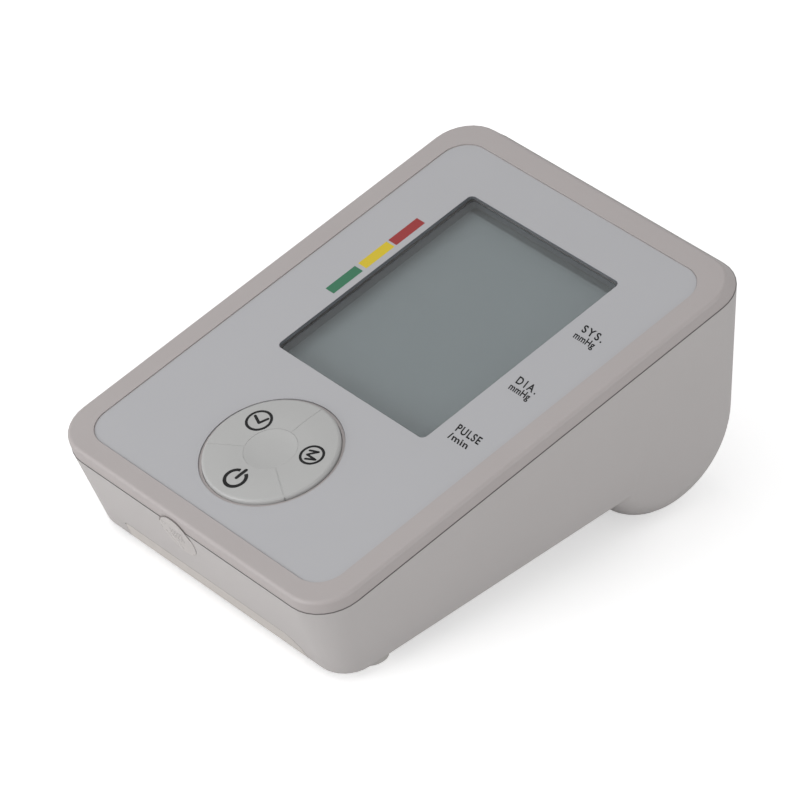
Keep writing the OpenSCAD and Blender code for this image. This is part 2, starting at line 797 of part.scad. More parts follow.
module switch_stem(angle) {
    color("#e8e6e0") at_keys() rotate([0, 0, angle]) translate([stem_ring_r, 0, 0])
        translate([0, 0, board_top + 0.3 + key_travel]) cylinder(r = switch_stem_r, h = stem_low - board_top - 0.3 - key_travel);
}

module power_switch() {
    switch_body(key_angles[0]);
}

module memory_switch() {
    switch_body(key_angles[1]);
}

module clock_switch() {
    switch_body(key_angles[2]);
}

module power_switch_stem() {
    switch_stem(key_angles[0]);
}

module memory_switch_stem() {
    switch_stem(key_angles[1]);
}

module clock_switch_stem() {
    switch_stem(key_angles[2]);
}

// ---------- display ----------

module lcd_panel() {
    glass_t = lcd_t / 2;
    color("#8d9798") on_face() translate([0, window_mid, 0]) {
        slab(lcd_w / 2, -lcd_l / 2 + 3, lcd_l / 2 - 3, 0.3, -lcd_depth - glass_t, -lcd_depth);
        slab(lcd_w / 2, -lcd_l / 2, lcd_l / 2, 0.3, lcd_low, -lcd_depth - glass_t);
    }
}

module lcd_frame() {
    outer_w = lcd_w / 2 + lcd_frame_wall;
    outer_l = lcd_l / 2 + lcd_frame_wall;
    fit = 0.1;
    color("#d8d8d6") on_face() translate([0, window_mid, 0]) difference() {
        slab(outer_w, -outer_l, outer_l, 1, board_top, deck_low);
        slab(lcd_w / 2 + fit, -lcd_l / 2 - fit, lcd_l / 2 + fit, 0.4, board_top - 1, -lcd_depth);
        slab(window_w / 2 + view_gap, -window_l / 2 - view_gap, window_l / 2 + view_gap, 1, -lcd_depth - 1, 0);
    }
}

module lcd_connectors() {
    color("#6f6f72") on_face() translate([0, window_mid, 0]) for (side = [-1, 1])
        translate([-strip_l / 2, side * (lcd_l / 2 - strip_w) - strip_w / 2, board_top])
            cube([strip_l, strip_w, lcd_low - board_top]);
}

// ---------- board ----------

module main_board() {
    color("#3f7a4d") on_face() difference() {
        slab(board_w / 2, board_mid - board_l / 2, board_mid + board_l / 2, 2, board_low, board_top);
        for (x = [-board_boss_x, board_boss_x], v = board_boss_v)
            translate([x, v, board_low - 1]) cylinder(r = board_screw_r + 0.3, h = board_t + 2, $fn = 24);
    }
}

module chip(x, v, w, l, h, above) {
    translate([x - w / 2, v - l / 2, above ? board_top : board_low - h]) cube([w, l, h]);
}

module controller_chip() {
    color("#2c2c2f") on_face() chip(0, window_mid, 12, 12, 1.4, true);
}

module board_parts() {
    color("#55504a") on_face() {
        chip(14, window_mid + 8, 5, 4, 1.5, true);
        chip(-14, window_mid + 6, 5, 3.8, 1.2, true);
        for (i = [0 : 4]) chip(-12 + 6 * i, window_mid - 14, 2, 1.2, 0.8, true);
        chip(connector_x, connector_v, 8, 5, connector_h, false);
        chip(-connector_x + 14, connector_v + 6, 8, 5, connector_h, false);
        for (x = [-2, 8]) translate([x, connector_v + 6, board_low - 6]) cylinder(r = 2.5, h = 6);
    }
}

module pressure_sensor() {
    color("#36363a") on_face() translate([sensor_x, sensor_v, 0]) difference() {
        union() {
            translate([-3.6, -4.5, board_low - sensor_h]) cube([7.6, 9, sensor_h]);
            translate([0, 0, sensor_tip]) cylinder(r = nipple_r, h = board_low - sensor_tip - 1);
        }
        translate([0, 0, sensor_tip - 1]) cylinder(r = air_r, h = 5);
    }
}

module buzzer() {
    color("#2b2b2d") on_face() translate([buzzer_x, buzzer_v, board_low - buzzer_h]) difference() {
        cylinder(r = buzzer_r, h = buzzer_h);
        translate([0, 0, -1]) cylinder(r = 1, h = 2);
    }
}

module board_screws() {
    color("#b9bcc0") on_face() for (x = [-board_boss_x, board_boss_x], v = board_boss_v)
        translate([x, v, board_low]) {
            translate([0, 0, -1.3]) cylinder(r = 2, h = 1.3);
            cylinder(r = board_screw_r, h = board_t + 4.5, $fn = 24);
        }
}

module case_screws() {
    color("#b9bcc0") on_face() for (x = [-case_screw_x, case_screw_x], v = case_screw_v)
        translate([x, v, screw_head_seat]) {
            translate([0, 0, -1.8]) difference() {
                cylinder(r = screw_head_r, h = 1.8);
                for (turn = [0, 90]) rotate([0, 0, turn]) translate([-1.4, -0.35, -0.1]) cube([2.8, 0.7, 1.1]);
            }
            cylinder(r = screw_r, h = 8.5, $fn = 24);
        }
}

// ---------- pump ----------

module on_pump_axis(x) {
    translate([x, line_y, pump_h]) along_x() children();
}

module pump_motor() {
    color("#b4b6b9") {
        difference() {
            on_pump_axis(motor_x0) cylinder(r = motor_r, h = motor_l);
            on_pump_axis(motor_x0 - 1) cylinder(r = shaft_r + 0.03, h = 19);
        }
        for (z = [-4, 4]) translate([motor_x1 - eps, line_y - 1, pump_h + z - 0.3]) cube([3, 2, 0.6]);
    }
}

module motor_shaft() {
    throw_r = 2.5;
    color("#9a9da1") {
        on_pump_axis(crank_x1 - crank_t) cylinder(r = shaft_r, h = motor_x0 + 17 - crank_x1 + crank_t);
        on_pump_axis(crank_x1 - crank_t) cylinder(r = crank_r, h = crank_t);
        translate([crank_x1 - crank_t - 2.5, line_y + throw_r, pump_h]) along_x() cylinder(r = 0.8, h = 2.5 + eps);
    }
}

module pump_housing() {
    color("#ece9e2") difference() {
        on_pump_axis(pump_x0) cylinder(r = pump_r, h = pump_l);
        on_pump_axis(pump_x0 - 1) cylinder(r = pump_r - 2, h = pump_l - 1);
        on_pump_axis(motor_x0 - 5) cylinder(r = 3.5, h = 6);
    }
}

module pump_diaphragm() {
    color("#4a4a4c") {
        on_pump_axis(pump_x0 - diaphragm_t) cylinder(r = pump_r, h = diaphragm_t);
        for (a = [0 : 120 : 240]) on_pump_axis(pump_x0 - eps) rotate([0, 0, a + 30])
            translate([6.5, 0, 0]) cylinder(r = 3, h = 2.5);
    }
}

module pump_cover() {
    color("#ece9e2") difference() {
        union() {
            on_pump_axis(cover_x0) cylinder(r = pump_r, h = cover_l);
            on_pump_axis(cover_x0 - nozzle_l) cylinder(r = nipple_r, h = nozzle_l + 1);
        }
        on_pump_axis(cover_x0 - nozzle_l - 1) cylinder(r = air_r, h = nozzle_l + 5);
    }
}

module pump_sleeve() {
    color("#5b5b5e") on_pump_axis(motor_x0 + 1) ring(motor_r + sleeve_t, motor_r, 0, motor_l - 2);
}

module pump_clamp() {
    inner = motor_r + sleeve_t + sleeve_fit;
    ear_l = clamp_reach + clamp_ear_end - inner;
    color("#c9c9c6") difference() {
        union() {
            intersection() {
                on_pump_axis(clamp_x - clamp_w / 2) ring(inner + clamp_t, inner, 0, clamp_w);
                translate([-far / 2, -far / 2, pump_h]) cube(far);
            }
            for (side = [-1, 1])
                translate([clamp_x - clamp_w / 2, line_y + side * (inner + ear_l / 2) - ear_l / 2, pump_h])
                    cube([clamp_w, ear_l, clamp_t]);
        }
        on_pump_axis(clamp_x - clamp_w) cylinder(r = inner, h = 2 * clamp_w);
        for (y = clamp_post_ys) translate([clamp_x, y, pump_h - 1]) cylinder(r = board_screw_r + 0.2, h = 4, $fn = 24);
    }
}

module clamp_screws() {
    color("#b9bcc0") for (y = clamp_post_ys) translate([clamp_x, y, pump_h + clamp_t]) {
        cylinder(r = clamp_head_r, h = 1.2);
        translate([0, 0, -clamp_t - clamp_screw_l])
            cylinder(r = board_screw_r, h = clamp_t + clamp_screw_l + eps, $fn = 24);
    }
}

// ---------- valve ----------

module on_valve_axis(y) {
    translate([valve_x, y, valve_z]) rotate([-90, 0, 0]) children();
}

module valve_yoke() {
    half = valve_half - 0.1;
    color("#a8aaad") difference() {
        union() {
            translate([valve_x - half, valve_y0, valve_z - valve_half]) cube([2 * half, valve_plate, 2 * valve_half]);
            translate([valve_x - half, valve_y1 - valve_plate, valve_z - valve_half])
                cube([2 * half, valve_plate, 2 * valve_half]);
            translate([valve_x - half, valve_y0, valve_z - valve_half]) cube([2 * half, valve_y1 - valve_y0, valve_plate]);
            on_valve_axis(valve_y1 - 1) cylinder(r = nipple_r, h = nipple_l + 1);
        }
        on_valve_axis(valve_y0 - 1) cylinder(r = plunger_r + 0.05, h = valve_plate + 2);
        on_valve_axis(valve_y1 - valve_plate - 1) cylinder(r = air_r, h = 10);
    }
}

module valve_coil() {
    color("#8a4b32") difference() {
        on_valve_axis(valve_y0 + valve_plate) cylinder(r = coil_r, h = valve_y1 - valve_y0 - 2 * valve_plate);
        on_valve_axis(valve_y0) cylinder(r = plunger_r + 0.05, h = far / 10);
    }
}

module valve_plunger() {
    color("#8f9296") {
        on_valve_axis(valve_y0 - plunger_out)
            cylinder(r = plunger_r, h = valve_y1 - valve_plate - plunger_travel - 0.05 - valve_y0 + plunger_out);
        on_valve_axis(valve_y0 - plunger_out - 0.7) cylinder(r = plunger_r + 0.8, h = 0.7 + eps);
    }
}

// ---------- air line ----------

module air_manifold() {
    color("#d7dadb") difference() {
        union() {
            translate([block_x0, line_y - block_half, block_z0])
                cube([block_x1 - block_x0, 2 * block_half, block_z1 - block_z0]);
            on_pump_axis(block_x1 - 1) cylinder(r = nipple_r, h = nipple_l + 1);
            translate([valve_x, line_y - block_half - nipple_l, valve_z]) rotate([-90, 0, 0])
                cylinder(r = nipple_r, h = nipple_l + 1);
            translate([socket_x, line_y, block_z1 - 1]) cylinder(r = nipple_r, h = nipple_l + 1);
            on_face() translate([sensor_x, sensor_v, lean_n - 1]) cylinder(r = nipple_r, h = nipple_l + 2);
        }
        translate([block_x0 + 2, line_y, pump_h]) along_x() cylinder(r = air_r, h = 30);
        translate([valve_x, line_y - 20, valve_z]) rotate([-90, 0, 0]) cylinder(r = air_r, h = 20);
        translate([socket_x, line_y, pump_h]) cylinder(r = air_r, h = 30);
        on_face() translate([sensor_x, sensor_v, lean_n - 6]) cylinder(r = air_r, h = 30);
    }
}

module hose_straight(length) {
    difference() {
        cylinder(r = hose_r, h = length);
        translate([0, 0, -1]) cylinder(r = nipple_r + hose_fit, h = length + 2);
    }
}

module hose_pump() {
    x0 = block_x1 + hose_seat;
    x1 = cover_x0 - hose_seat;
    color(hose_colour) on_pump_axis(x0) hose_straight(x1 - x0);
}

module hose_valve() {
    y0 = valve_y1 + hose_seat;
    y1 = line_y - block_half - hose_seat;
    color(hose_colour) on_valve_axis(y0) hose_straight(y1 - y0);
}

module hose_socket() {
    z0 = block_z1 + hose_seat;
    z1 = socket_h - socket_barrel_r - hose_seat;
    color(hose_colour) translate([socket_x, line_y, z0]) hose_straight(z1 - z0);
}

module hose_sensor() {
    color(hose_colour) on_face() translate([sensor_x, sensor_v, lean_hose_n])
        hose_straight(sensor_hose_top - lean_hose_n);
}

module cuff_socket() {
    flange_t = 1.5;
    barrel_x1 = socket_x + 2.5;
    color("#c9c5c2") difference() {
        union() {
            translate([socket_face_x, line_y, socket_h]) along_x() cylinder(r = socket_r, h = 6);
            translate([socket_seat_x, line_y, socket_h]) along_x() cylinder(r = socket_flange_r, h = flange_t);
            translate([socket_seat_x, line_y, socket_h]) along_x()
                cylinder(r = socket_barrel_r, h = barrel_x1 - socket_seat_x);
            translate([socket_x, line_y, socket_h - socket_barrel_r - nipple_l])
                cylinder(r = nipple_r, h = nipple_l + socket_barrel_r);
        }
        translate([socket_face_x - 1, line_y, socket_h]) along_x()
            cylinder(r = socket_bore_r, h = socket_bore_l + 1);
        translate([socket_x, line_y, socket_h - 12]) cylinder(r = air_r, h = 12);
    }
}

module dc_socket() {
    seat_y = rear_y - wall;
    color("#2e2e30") difference() {
        union() {
            translate([jack_x - jack_w / 2, seat_y - jack_l, jack_z - jack_h / 2]) cube([jack_w, jack_l, jack_h]);
            translate([jack_x, seat_y - 1, jack_z]) rotate([-90, 0, 0]) cylinder(r = jack_nose_r, h = wall + 0.7);
        }
        translate([jack_x, seat_y - jack_l + 2, jack_z]) rotate([-90, 0, 0]) cylinder(r = jack_bore_r, h = 30);
    }
    color("#2e2e30") translate([jack_x, seat_y - jack_l + 2 - eps, jack_z]) rotate([-90, 0, 0])
        cylinder(r = 1, h = jack_l - 2.5, $fn = 24);
}

// ---------- battery bay ----------

// A cell lies across the bay; odd ones have their button on the right.
module cell(i) {
    way = i % 2 == 0 ? 1 : -1;
    button_l = 1.3;
    color("#5c6670")
        on_underside() translate([door_x, first_cell + i * cell_pitch, cell_z]) rotate([0, 90 * way, 0])
            translate([0, 0, bay_w / 2 - contact_t - cell_l]) {
                cylinder(r = cell_r, h = cell_l - button_l);
                cylinder(r = 2.7, h = cell_l);
            }
}

module cell_1() {
    cell(0);
}

module cell_2() {
    cell(1);
}

module cell_3() {
    cell(2);
}

module cell_4() {
    cell(3);
}

module contact_plates() {
    half = 5;
    color("#b8b2a0") on_underside() translate([door_x, 0, cell_z]) {
        for (pair = [0, 2]) translate([-bay_w / 2, first_cell + pair * cell_pitch - half, -half])
            cube([contact_t, cell_pitch + 2 * half, 2 * half]);
        translate([bay_w / 2 - contact_t, first_cell + cell_pitch - half, -half])
            cube([contact_t, cell_pitch + 2 * half, 2 * half]);
        for (i = [0, 3]) {
            translate([bay_w / 2 - contact_t, first_cell + i * cell_pitch - half, -half])
                cube([contact_t, 2 * half, 2 * half]);
            translate([bay_w / 2 - eps, first_cell + i * cell_pitch - 1.5, -0.25]) cube([tab_reach, 3, 0.5]);
        }
    }
}

module contact_springs() {
    turns = 3;
    steps = 14;
    wire = 0.35;
    spring_l = bay_w - 2 * contact_t - cell_l;
    color("#c7c9cc") on_underside() for (i = [0 : 3]) {
        way = i % 2 == 0 ? -1 : 1;
        translate([door_x + way * (bay_w / 2 - contact_t), first_cell + i * cell_pitch, cell_z])
            tube([for (s = [0 : turns * steps]) let (f = s / turns / steps, r = 4 - 1.6 * f)
                [-way * (wire + (spring_l - 2 * wire) * f), r * cos(360 * s / steps), r * sin(360 * s / steps)]],
                wire, 6);
    }
}

// ---------- leads ----------

// Battery leads run from the tabs beside the bay up to the board's connector.
module battery_leads() {
    tab_x = door_x + bay_w / 2 + tab_reach + lead_gap;
    plus = under_point(tab_x, first_cell, cell_z);
    minus = under_point(tab_x, first_cell + 3 * cell_pitch, cell_z);
    plug_a = face_point(connector_x + 1.5, connector_v, board_low - connector_h - lead_gap);
    plug_b = face_point(connector_x - 1.5, connector_v, board_low - connector_h - lead_gap);
    color("#b03a34") tube(smooth([plus, plus + [1.2, 0.5, 0.2], [33.5, -24, 17], [34, -8, 19], [34, 8, 24],
        [33.5, 22, 29], plug_a + [0.3, 1.2, -4.5], plug_a], 3), lead_r, lead_sides);
    color("#2f2f31") tube(smooth([minus, minus + [1, 0.5, 0.2], [32.6, 17, 23], [31.6, 25, 28],
        plug_b + [0.2, 1.2, -4.5], plug_b], 3), lead_r, lead_sides);
}

// Motor leads run from the terminals up to the same connector's rear edge.
module motor_leads() {
    for (z = [-4, 4]) {
        side = z < 0 ? 1 : -1;
        start = [motor_x1 + 3 + lead_gap, line_y, pump_h + z];
        plug = face_point(connector_x + 1.5 * side, connector_v + 2.5 + lead_gap, board_low - connector_h / 2) + [0, 0.15, 0];
        color(z < 0 ? "#2f2f31" : "#b03a34") tube(smooth([start, start + [1.6, 0, 1.6],
            [42.5, line_y - 0.5 - 3 * side, 28 + z], [38 + side, line_y - 1 - side, 36 + z / 4],
            plug + [0.5, 2.5, -0.8], plug], 3), lead_r, lead_sides);
    }
}

// Valve leads rise from the coil to the board's left connector.
module valve_leads() {
    for (side = [-1, 1]) {
        start = [valve_x + 1.5 * side, valve_y0 + 6, valve_z + coil_r + lead_gap];
        plug = face_point(-connector_x + 14 + 1.5 * side, connector_v + 6, board_low - connector_h - lead_gap);
        color(side < 0 ? "#2f2f31" : "#d9d4c8") tube(smooth([start, start + [0.3, 0, 1.5],
            [-30 + side, 33, 33], [-21 + 1.2 * side, 39, 37], plug + [0, 1, -3.5], plug], 3), lead_r, lead_sides);
    }
}

// DC socket leads go forward and up to the board's left connector's rear face.
module socket_leads() {
    for (side = [-1, 1]) {
        start = [jack_x + 2 * side, rear_y - wall - jack_l - 0.5, jack_z + 2];
        plug = face_point(-connector_x + 14 + 1.5 * side, connector_v + 8.55, board_low - connector_h / 2);
        color(side < 0 ? "#2f2f31" : "#b03a34") tube(smooth([start, start + [0, -0.4, 0.1], plug + [0, 0.5, -0.1],
            plug + [0, lead_gap, 0]], 2), lead_r, lead_sides);
    }
}

top_shell();
face_plate();
window_lens();
bottom_shell();
battery_door();
seal_film();
front_foot_left();
front_foot_right();
rear_foot_left();
rear_foot_right();
power_key();
memory_key();
clock_key();
key_carrier();
key_hub();
power_switch();
memory_switch();
clock_switch();
power_switch_stem();
memory_switch_stem();
clock_switch_stem();
lcd_panel();
lcd_frame();
lcd_connectors();
main_board();
controller_chip();
board_parts();
pressure_sensor();
buzzer();
board_screws();
case_screws();
pump_motor();
motor_shaft();
pump_housing();
pump_diaphragm();
pump_cover();
pump_sleeve();
pump_clamp();
clamp_screws();
valve_yoke();
valve_coil();
valve_plunger();
air_manifold();
hose_pump();
hose_valve();
hose_socket();
hose_sensor();
cuff_socket();
dc_socket();
cell_1();
cell_2();
cell_3();
cell_4();
contact_plates();
contact_springs();
battery_leads();
motor_leads();
valve_leads();
socket_leads();
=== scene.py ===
"""Looks of a desktop upper-arm blood pressure monitor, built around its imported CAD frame.

Blender works in metres and the numbers below are in millimetres, so lengths pass through mm().
"""

import math

import bmesh
import bpy
from mathutils import Matrix, Vector


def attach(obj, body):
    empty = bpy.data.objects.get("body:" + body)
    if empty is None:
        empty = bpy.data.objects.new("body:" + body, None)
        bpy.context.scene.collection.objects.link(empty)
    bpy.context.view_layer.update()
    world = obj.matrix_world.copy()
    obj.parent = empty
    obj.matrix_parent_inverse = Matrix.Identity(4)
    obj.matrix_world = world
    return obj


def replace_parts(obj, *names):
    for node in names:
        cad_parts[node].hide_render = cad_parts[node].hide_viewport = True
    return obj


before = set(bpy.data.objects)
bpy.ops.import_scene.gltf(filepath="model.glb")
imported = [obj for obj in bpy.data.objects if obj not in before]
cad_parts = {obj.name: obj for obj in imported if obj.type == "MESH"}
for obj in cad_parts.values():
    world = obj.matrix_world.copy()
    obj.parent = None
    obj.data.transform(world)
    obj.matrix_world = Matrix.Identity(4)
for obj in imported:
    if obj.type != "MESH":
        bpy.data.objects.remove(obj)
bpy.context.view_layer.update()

# ---------- the case's own sizes, in millimetres and degrees ----------

# The face's slope, and the place of the plate's front edge.
FACE_TILT = 15.4
FACE_FRONT_Y = -62.159
FACE_FRONT_Z = 28.1

# Front wall of the lower shell: its lean, the seam's height along the wall, and the (y, z) of its foot.
WALL_LEAN = 22.628
WALL_HEIGHT = 22.833
WALL_FOOT = (-57.769, 2.080)

# Underside: its slope and the (y, z) of its front edge, then the door's flange on the front wall.
UNDER_SLOPE = 7.25
UNDER_EDGE = (-57.7, 1.2)
DOOR_MIDDLE = 1.15
DOOR_HALF = 32.65
DOOR_GAP = 0.15
FLANGE_HEIGHT = 5.5
FLANGE_LEFT_R = 1.0
FLANGE_RIGHT_R = 7.0

# The seam's depth below the face, and the plate's half width, length and corner radius.
SEAM_DEPTH = 3.6
PLATE_HALF = 43.25
PLATE_LENGTH = 124.5
PLATE_CORNER = 7.0

# Window in the plate: half width, front and rear edges, corner radius, the lens's lower face, and the display's depth.
WINDOW_HALF = 26.35
WINDOW_FRONT = 47.4
WINDOW_REAR = 111.4
WINDOW_CORNER = 1.5
LENS_LOW = -2.0
LCD_DEPTH = 4.5

# Round pad: middle of the keys, radius where the keys begin, and (radius, height) along their crown.
KEYS_V = 22.8
KEY_INNER = 6.6
KEY_CROWN = ((6.6, 1.05), (10.02, 1.15), (12.525, 1.10), (15.9, 0.90), (16.25, 0.82), (16.5, 0.63), (16.7, 0.10))


def mm(value):
    """Metres from millimetres."""
    return value * 0.001


FACE_TURN = Matrix.Rotation(math.radians(FACE_TILT), 4, "X")
FACE_FRAME = Matrix.Translation((0, mm(FACE_FRONT_Y), mm(FACE_FRONT_Z))) @ FACE_TURN


def on_face(x, v, n=0.0):
    """A point of the tilted face: across, up the slope from the plate's front edge, and out of the face."""
    return FACE_FRAME @ Vector((mm(x), mm(v), mm(n)))


# ---------- materials ----------


def srgb(hex_colour):
    """Linear colour with alpha from an sRGB hex value."""
    channels = [int(hex_colour[i:i + 2], 16) / 255 for i in (1, 3, 5)]
    return [c / 12.92 if c <= 0.04045 else ((c + 0.055) / 1.055) ** 2.4 for c in channels] + [1.0]


def add_node(tree, kind, links=(), **settings):
    """Adds a node, sets its properties and unlinked inputs, and links inputs from (input, socket) pairs."""
    node = tree.nodes.new(kind)
    for name, value in settings.items():
        if hasattr(node, name):
            setattr(node, name, value)
        else:
            node.inputs[name.replace("_", " ")].default_value = value
    for name, source in links:
        tree.links.new(source, node.inputs[name])
    return node


def new_material(name):
    """An empty procedural material, its tree and its output node."""
    material = bpy.data.materials.new(name)
    material.use_nodes = True
    material.node_tree.nodes.clear()
    tree = material.node_tree
    output = add_node(tree, "ShaderNodeOutputMaterial")
    return material, tree, output


def per_mm(size):
    """Noise scale for features of the given size in millimetres."""
    return 1000.0 / size


# The seam's painted shade: full to the first distance from the parting, gone at the second, and how much light is
# left.
SHADE_CORE = 0.06
SHADE_EDGE = 0.22
SHADE_DARKEST = 0.4


def parting_shade(tree, place):
    """Paints shade a hair's breadth on each side of the seam between the shells: painted shade of the groove between
    them.
    """
    up = Matrix.Rotation(math.radians(FACE_TILT), 3, "X") @ Vector((0, 0, 1))
    seam = up.dot(Vector((0, mm(FACE_FRONT_Y), mm(FACE_FRONT_Z)))) - mm(SEAM_DEPTH)
    level = add_node(tree, "ShaderNodeVectorMath", [(0, place)], operation="DOT_PRODUCT")
    level.inputs[1].default_value = up
    above = add_node(tree, "ShaderNodeMath", [(0, level.outputs["Value"])], operation="SUBTRACT")
    above.inputs[1].default_value = seam
    away = add_node(tree, "ShaderNodeMath", [(0, above.outputs[0])], operation="ABSOLUTE")
    shade = add_node(tree, "ShaderNodeMapRange", [("Value", away.outputs[0])])
    shade.inputs["From Min"].default_value = mm(SHADE_CORE)
    shade.inputs["From Max"].default_value = mm(SHADE_EDGE)
    shade.inputs["To Min"].default_value = SHADE_DARKEST
    return shade.outputs["Result"]


# Roughness wanders by this much over a moulded surface.
ROUGHNESS_SPREAD = 0.04


def moulded_plastic(name, light, dark, roughness, grain_mm, grain_depth_mm,
                    mottle_mm=18.0, specular=0.5, sheen=0.0, painted_seam_shade=False):
    """Moulded plastic, rubber, film or ink: two close tones in soft clouds, the fine bumps of its finish, and painted
    shade along the shells' seam where asked.

    Real grain of about 0.1 mm doesn't show in the picture, so it is drawn at 0.3 to 0.9 mm."""
    material, tree, output = new_material(name)
    place = add_node(tree, "ShaderNodeTexCoord")
    clouds = add_node(tree, "ShaderNodeTexNoise", [("Vector", place.outputs["Object"])],
                      Scale=per_mm(mottle_mm), Detail=3.0, Roughness=0.5)
    tones = add_node(tree, "ShaderNodeMix", [("Factor", clouds.outputs["Fac"])], data_type="RGBA")
    tones.inputs[6].default_value = srgb(dark)
    tones.inputs[7].default_value = srgb(light)
    grain = add_node(tree, "ShaderNodeTexNoise", [("Vector", place.outputs["Object"])],
                     Scale=per_mm(grain_mm), Detail=2.0, Roughness=0.6)
    bump = add_node(tree, "ShaderNodeBump", [("Height", grain.outputs["Fac"])],
                    Strength=1.0, Distance=mm(grain_depth_mm))
    wear = add_node(tree, "ShaderNodeMapRange", [("Value", clouds.outputs["Fac"])])
    wear.inputs["To Min"].default_value = roughness - ROUGHNESS_SPREAD
    wear.inputs["To Max"].default_value = roughness + ROUGHNESS_SPREAD
    colour = tones.outputs[2]
    # Painted shade along the seam between the shells.
    if painted_seam_shade:
        shaded = add_node(tree, "ShaderNodeVectorMath", [
            (0, colour), ("Scale", parting_shade(tree, place.outputs["Object"]))], operation="SCALE")
        colour = shaded.outputs["Vector"]
    surface = add_node(tree, "ShaderNodeBsdfPrincipled", [
        ("Base Color", colour),
        ("Roughness", wear.outputs["Result"]),
        ("Normal", bump.outputs["Normal"]),
    ], IOR=1.5)
    surface.inputs["Specular IOR Level"].default_value = specular
    surface.inputs["Sheen Weight"].default_value = sheen
    tree.links.new(surface.outputs["BSDF"], output.inputs["Surface"])
    return material


def smooth_metal(name, tone, roughness, streak_mm):
    """Plated or drawn metal: fine streaks along one direction make the highlight run out sideways."""
    material, tree, output = new_material(name)
    place = add_node(tree, "ShaderNodeTexCoord")
    stretch = add_node(tree, "ShaderNodeMapping", [("Vector", place.outputs["Object"])])
    stretch.inputs["Scale"].default_value = (1.0, 12.0, 1.0)
    streaks = add_node(tree, "ShaderNodeTexNoise", [("Vector", stretch.outputs["Vector"])],
                       Scale=per_mm(streak_mm), Detail=2.0)
    worn = add_node(tree, "ShaderNodeMapRange", [("Value", streaks.outputs["Fac"])])
    worn.inputs["To Min"].default_value = roughness - 0.06
    worn.inputs["To Max"].default_value = roughness + 0.08
    surface = add_node(tree, "ShaderNodeBsdfPrincipled", [("Roughness", worn.outputs["Result"])], Metallic=1.0)
    surface.inputs["Base Color"].default_value = srgb(tone)
    tree.links.new(surface.outputs["BSDF"], output.inputs["Surface"])
    return material


def clear_sheet(name, tint, veil, roughness):
    """A clear sheet: mostly see-through, with a reflection that grows towards grazing view."""
    material, tree, output = new_material(name)
    place = add_node(tree, "ShaderNodeTexCoord")
    dust = add_node(tree, "ShaderNodeTexNoise", [("Vector", place.outputs["Object"])], Scale=per_mm(6.0), Detail=4.0)
    dusty = add_node(tree, "ShaderNodeMapRange", [("Value", dust.outputs["Fac"])])
    dusty.inputs["To Min"].default_value = veil * 0.6
    dusty.inputs["To Max"].default_value = veil * 1.4
    through = add_node(tree, "ShaderNodeBsdfTransparent")
    through.inputs["Color"].default_value = srgb(tint)
    haze = add_node(tree, "ShaderNodeBsdfDiffuse")
    haze.inputs["Color"].default_value = srgb("#e4e4e4")
    body = add_node(tree, "ShaderNodeMixShader", [("Fac", dusty.outputs["Result"])])
    tree.links.new(through.outputs["BSDF"], body.inputs[1])
    tree.links.new(haze.outputs["BSDF"], body.inputs[2])
    shine = add_node(tree, "ShaderNodeBsdfGlossy", Roughness=roughness)
    edge = add_node(tree, "ShaderNodeFresnel", IOR=1.49)
    side = add_node(tree, "ShaderNodeNewGeometry")
    outer = add_node(tree, "ShaderNodeMath", [(1, side.outputs["Backfacing"])], operation="SUBTRACT")
    outer.inputs[0].default_value = 1.0
    mirror = add_node(tree, "ShaderNodeMath", [
        (0, edge.outputs["Fac"]), (1, outer.outputs[0])], operation="MULTIPLY")
    sheet = add_node(tree, "ShaderNodeMixShader", [("Fac", mirror.outputs[0])])
    tree.links.new(body.outputs["Shader"], sheet.inputs[1])
    tree.links.new(shine.outputs["BSDF"], sheet.inputs[2])
    tree.links.new(sheet.outputs["Shader"], output.inputs["Surface"])
    return material


# Upper half: ABS from a spark-eroded mould, a slightly warm satin skin, with painted shade along the seam.
abs_upper = moulded_plastic("abs_upper_satin", "#aea8a7", "#aaa3a2", 0.48, 0.5, 0.012, painted_seam_shade=True)
# Lower half: the same ABS from another mould, a touch cooler, with painted shade along the seam.
abs_lower = moulded_plastic("abs_lower_satin", "#b7b3b2", "#b3afae", 0.50, 0.5, 0.014, painted_seam_shade=True)
# Battery door: a separate moulding, a shade lighter than the shell.
abs_door = moulded_plastic("abs_door_satin", "#c3beba", "#bfbab6", 0.50, 0.5, 0.014)
# Inset plate: moulded smooth, so it reflects the room more evenly than the case.
panel_satin = moulded_plastic("abs_panel_smooth", "#b0b0b3", "#adadb0", 0.42, 0.9, 0.003)
# Keys: the plate's plastic with a softer finish.
key_satin = moulded_plastic("abs_key_satin", "#b0b0af", "#adadac", 0.42, 0.6, 0.004, mottle_mm=9.0)
# Cast acrylic window over the display: clear, and a mirror only at low angles.
acrylic = clear_sheet("acrylic_window", "#f4f6f6", 0.02, 0.06)
# Display off: a grey-green polariser film on glass, a fine anti-glare texture.
polariser = moulded_plastic("lcd_polariser_off", "#8b9194", "#888e91", 0.45, 0.8, 0.0002, mottle_mm=30.0)
# Painted shade in the narrow joint round the door: a thin dark line without gloss, where the gap would fall dark.
painted_joint_shade = moulded_plastic("painted_joint_shade", "#4c4644", "#443f3d", 0.8, 0.3, 0.002, specular=0.1)
# Dark print on the window's cut edge and round the display below it, with painted shade of the recess in its darkness:
# it frames the display in soft grey.
window_print_and_shade = moulded_plastic("window_print_and_shade", "#606367", "#5b5e62", 0.5, 0.4, 0.002)
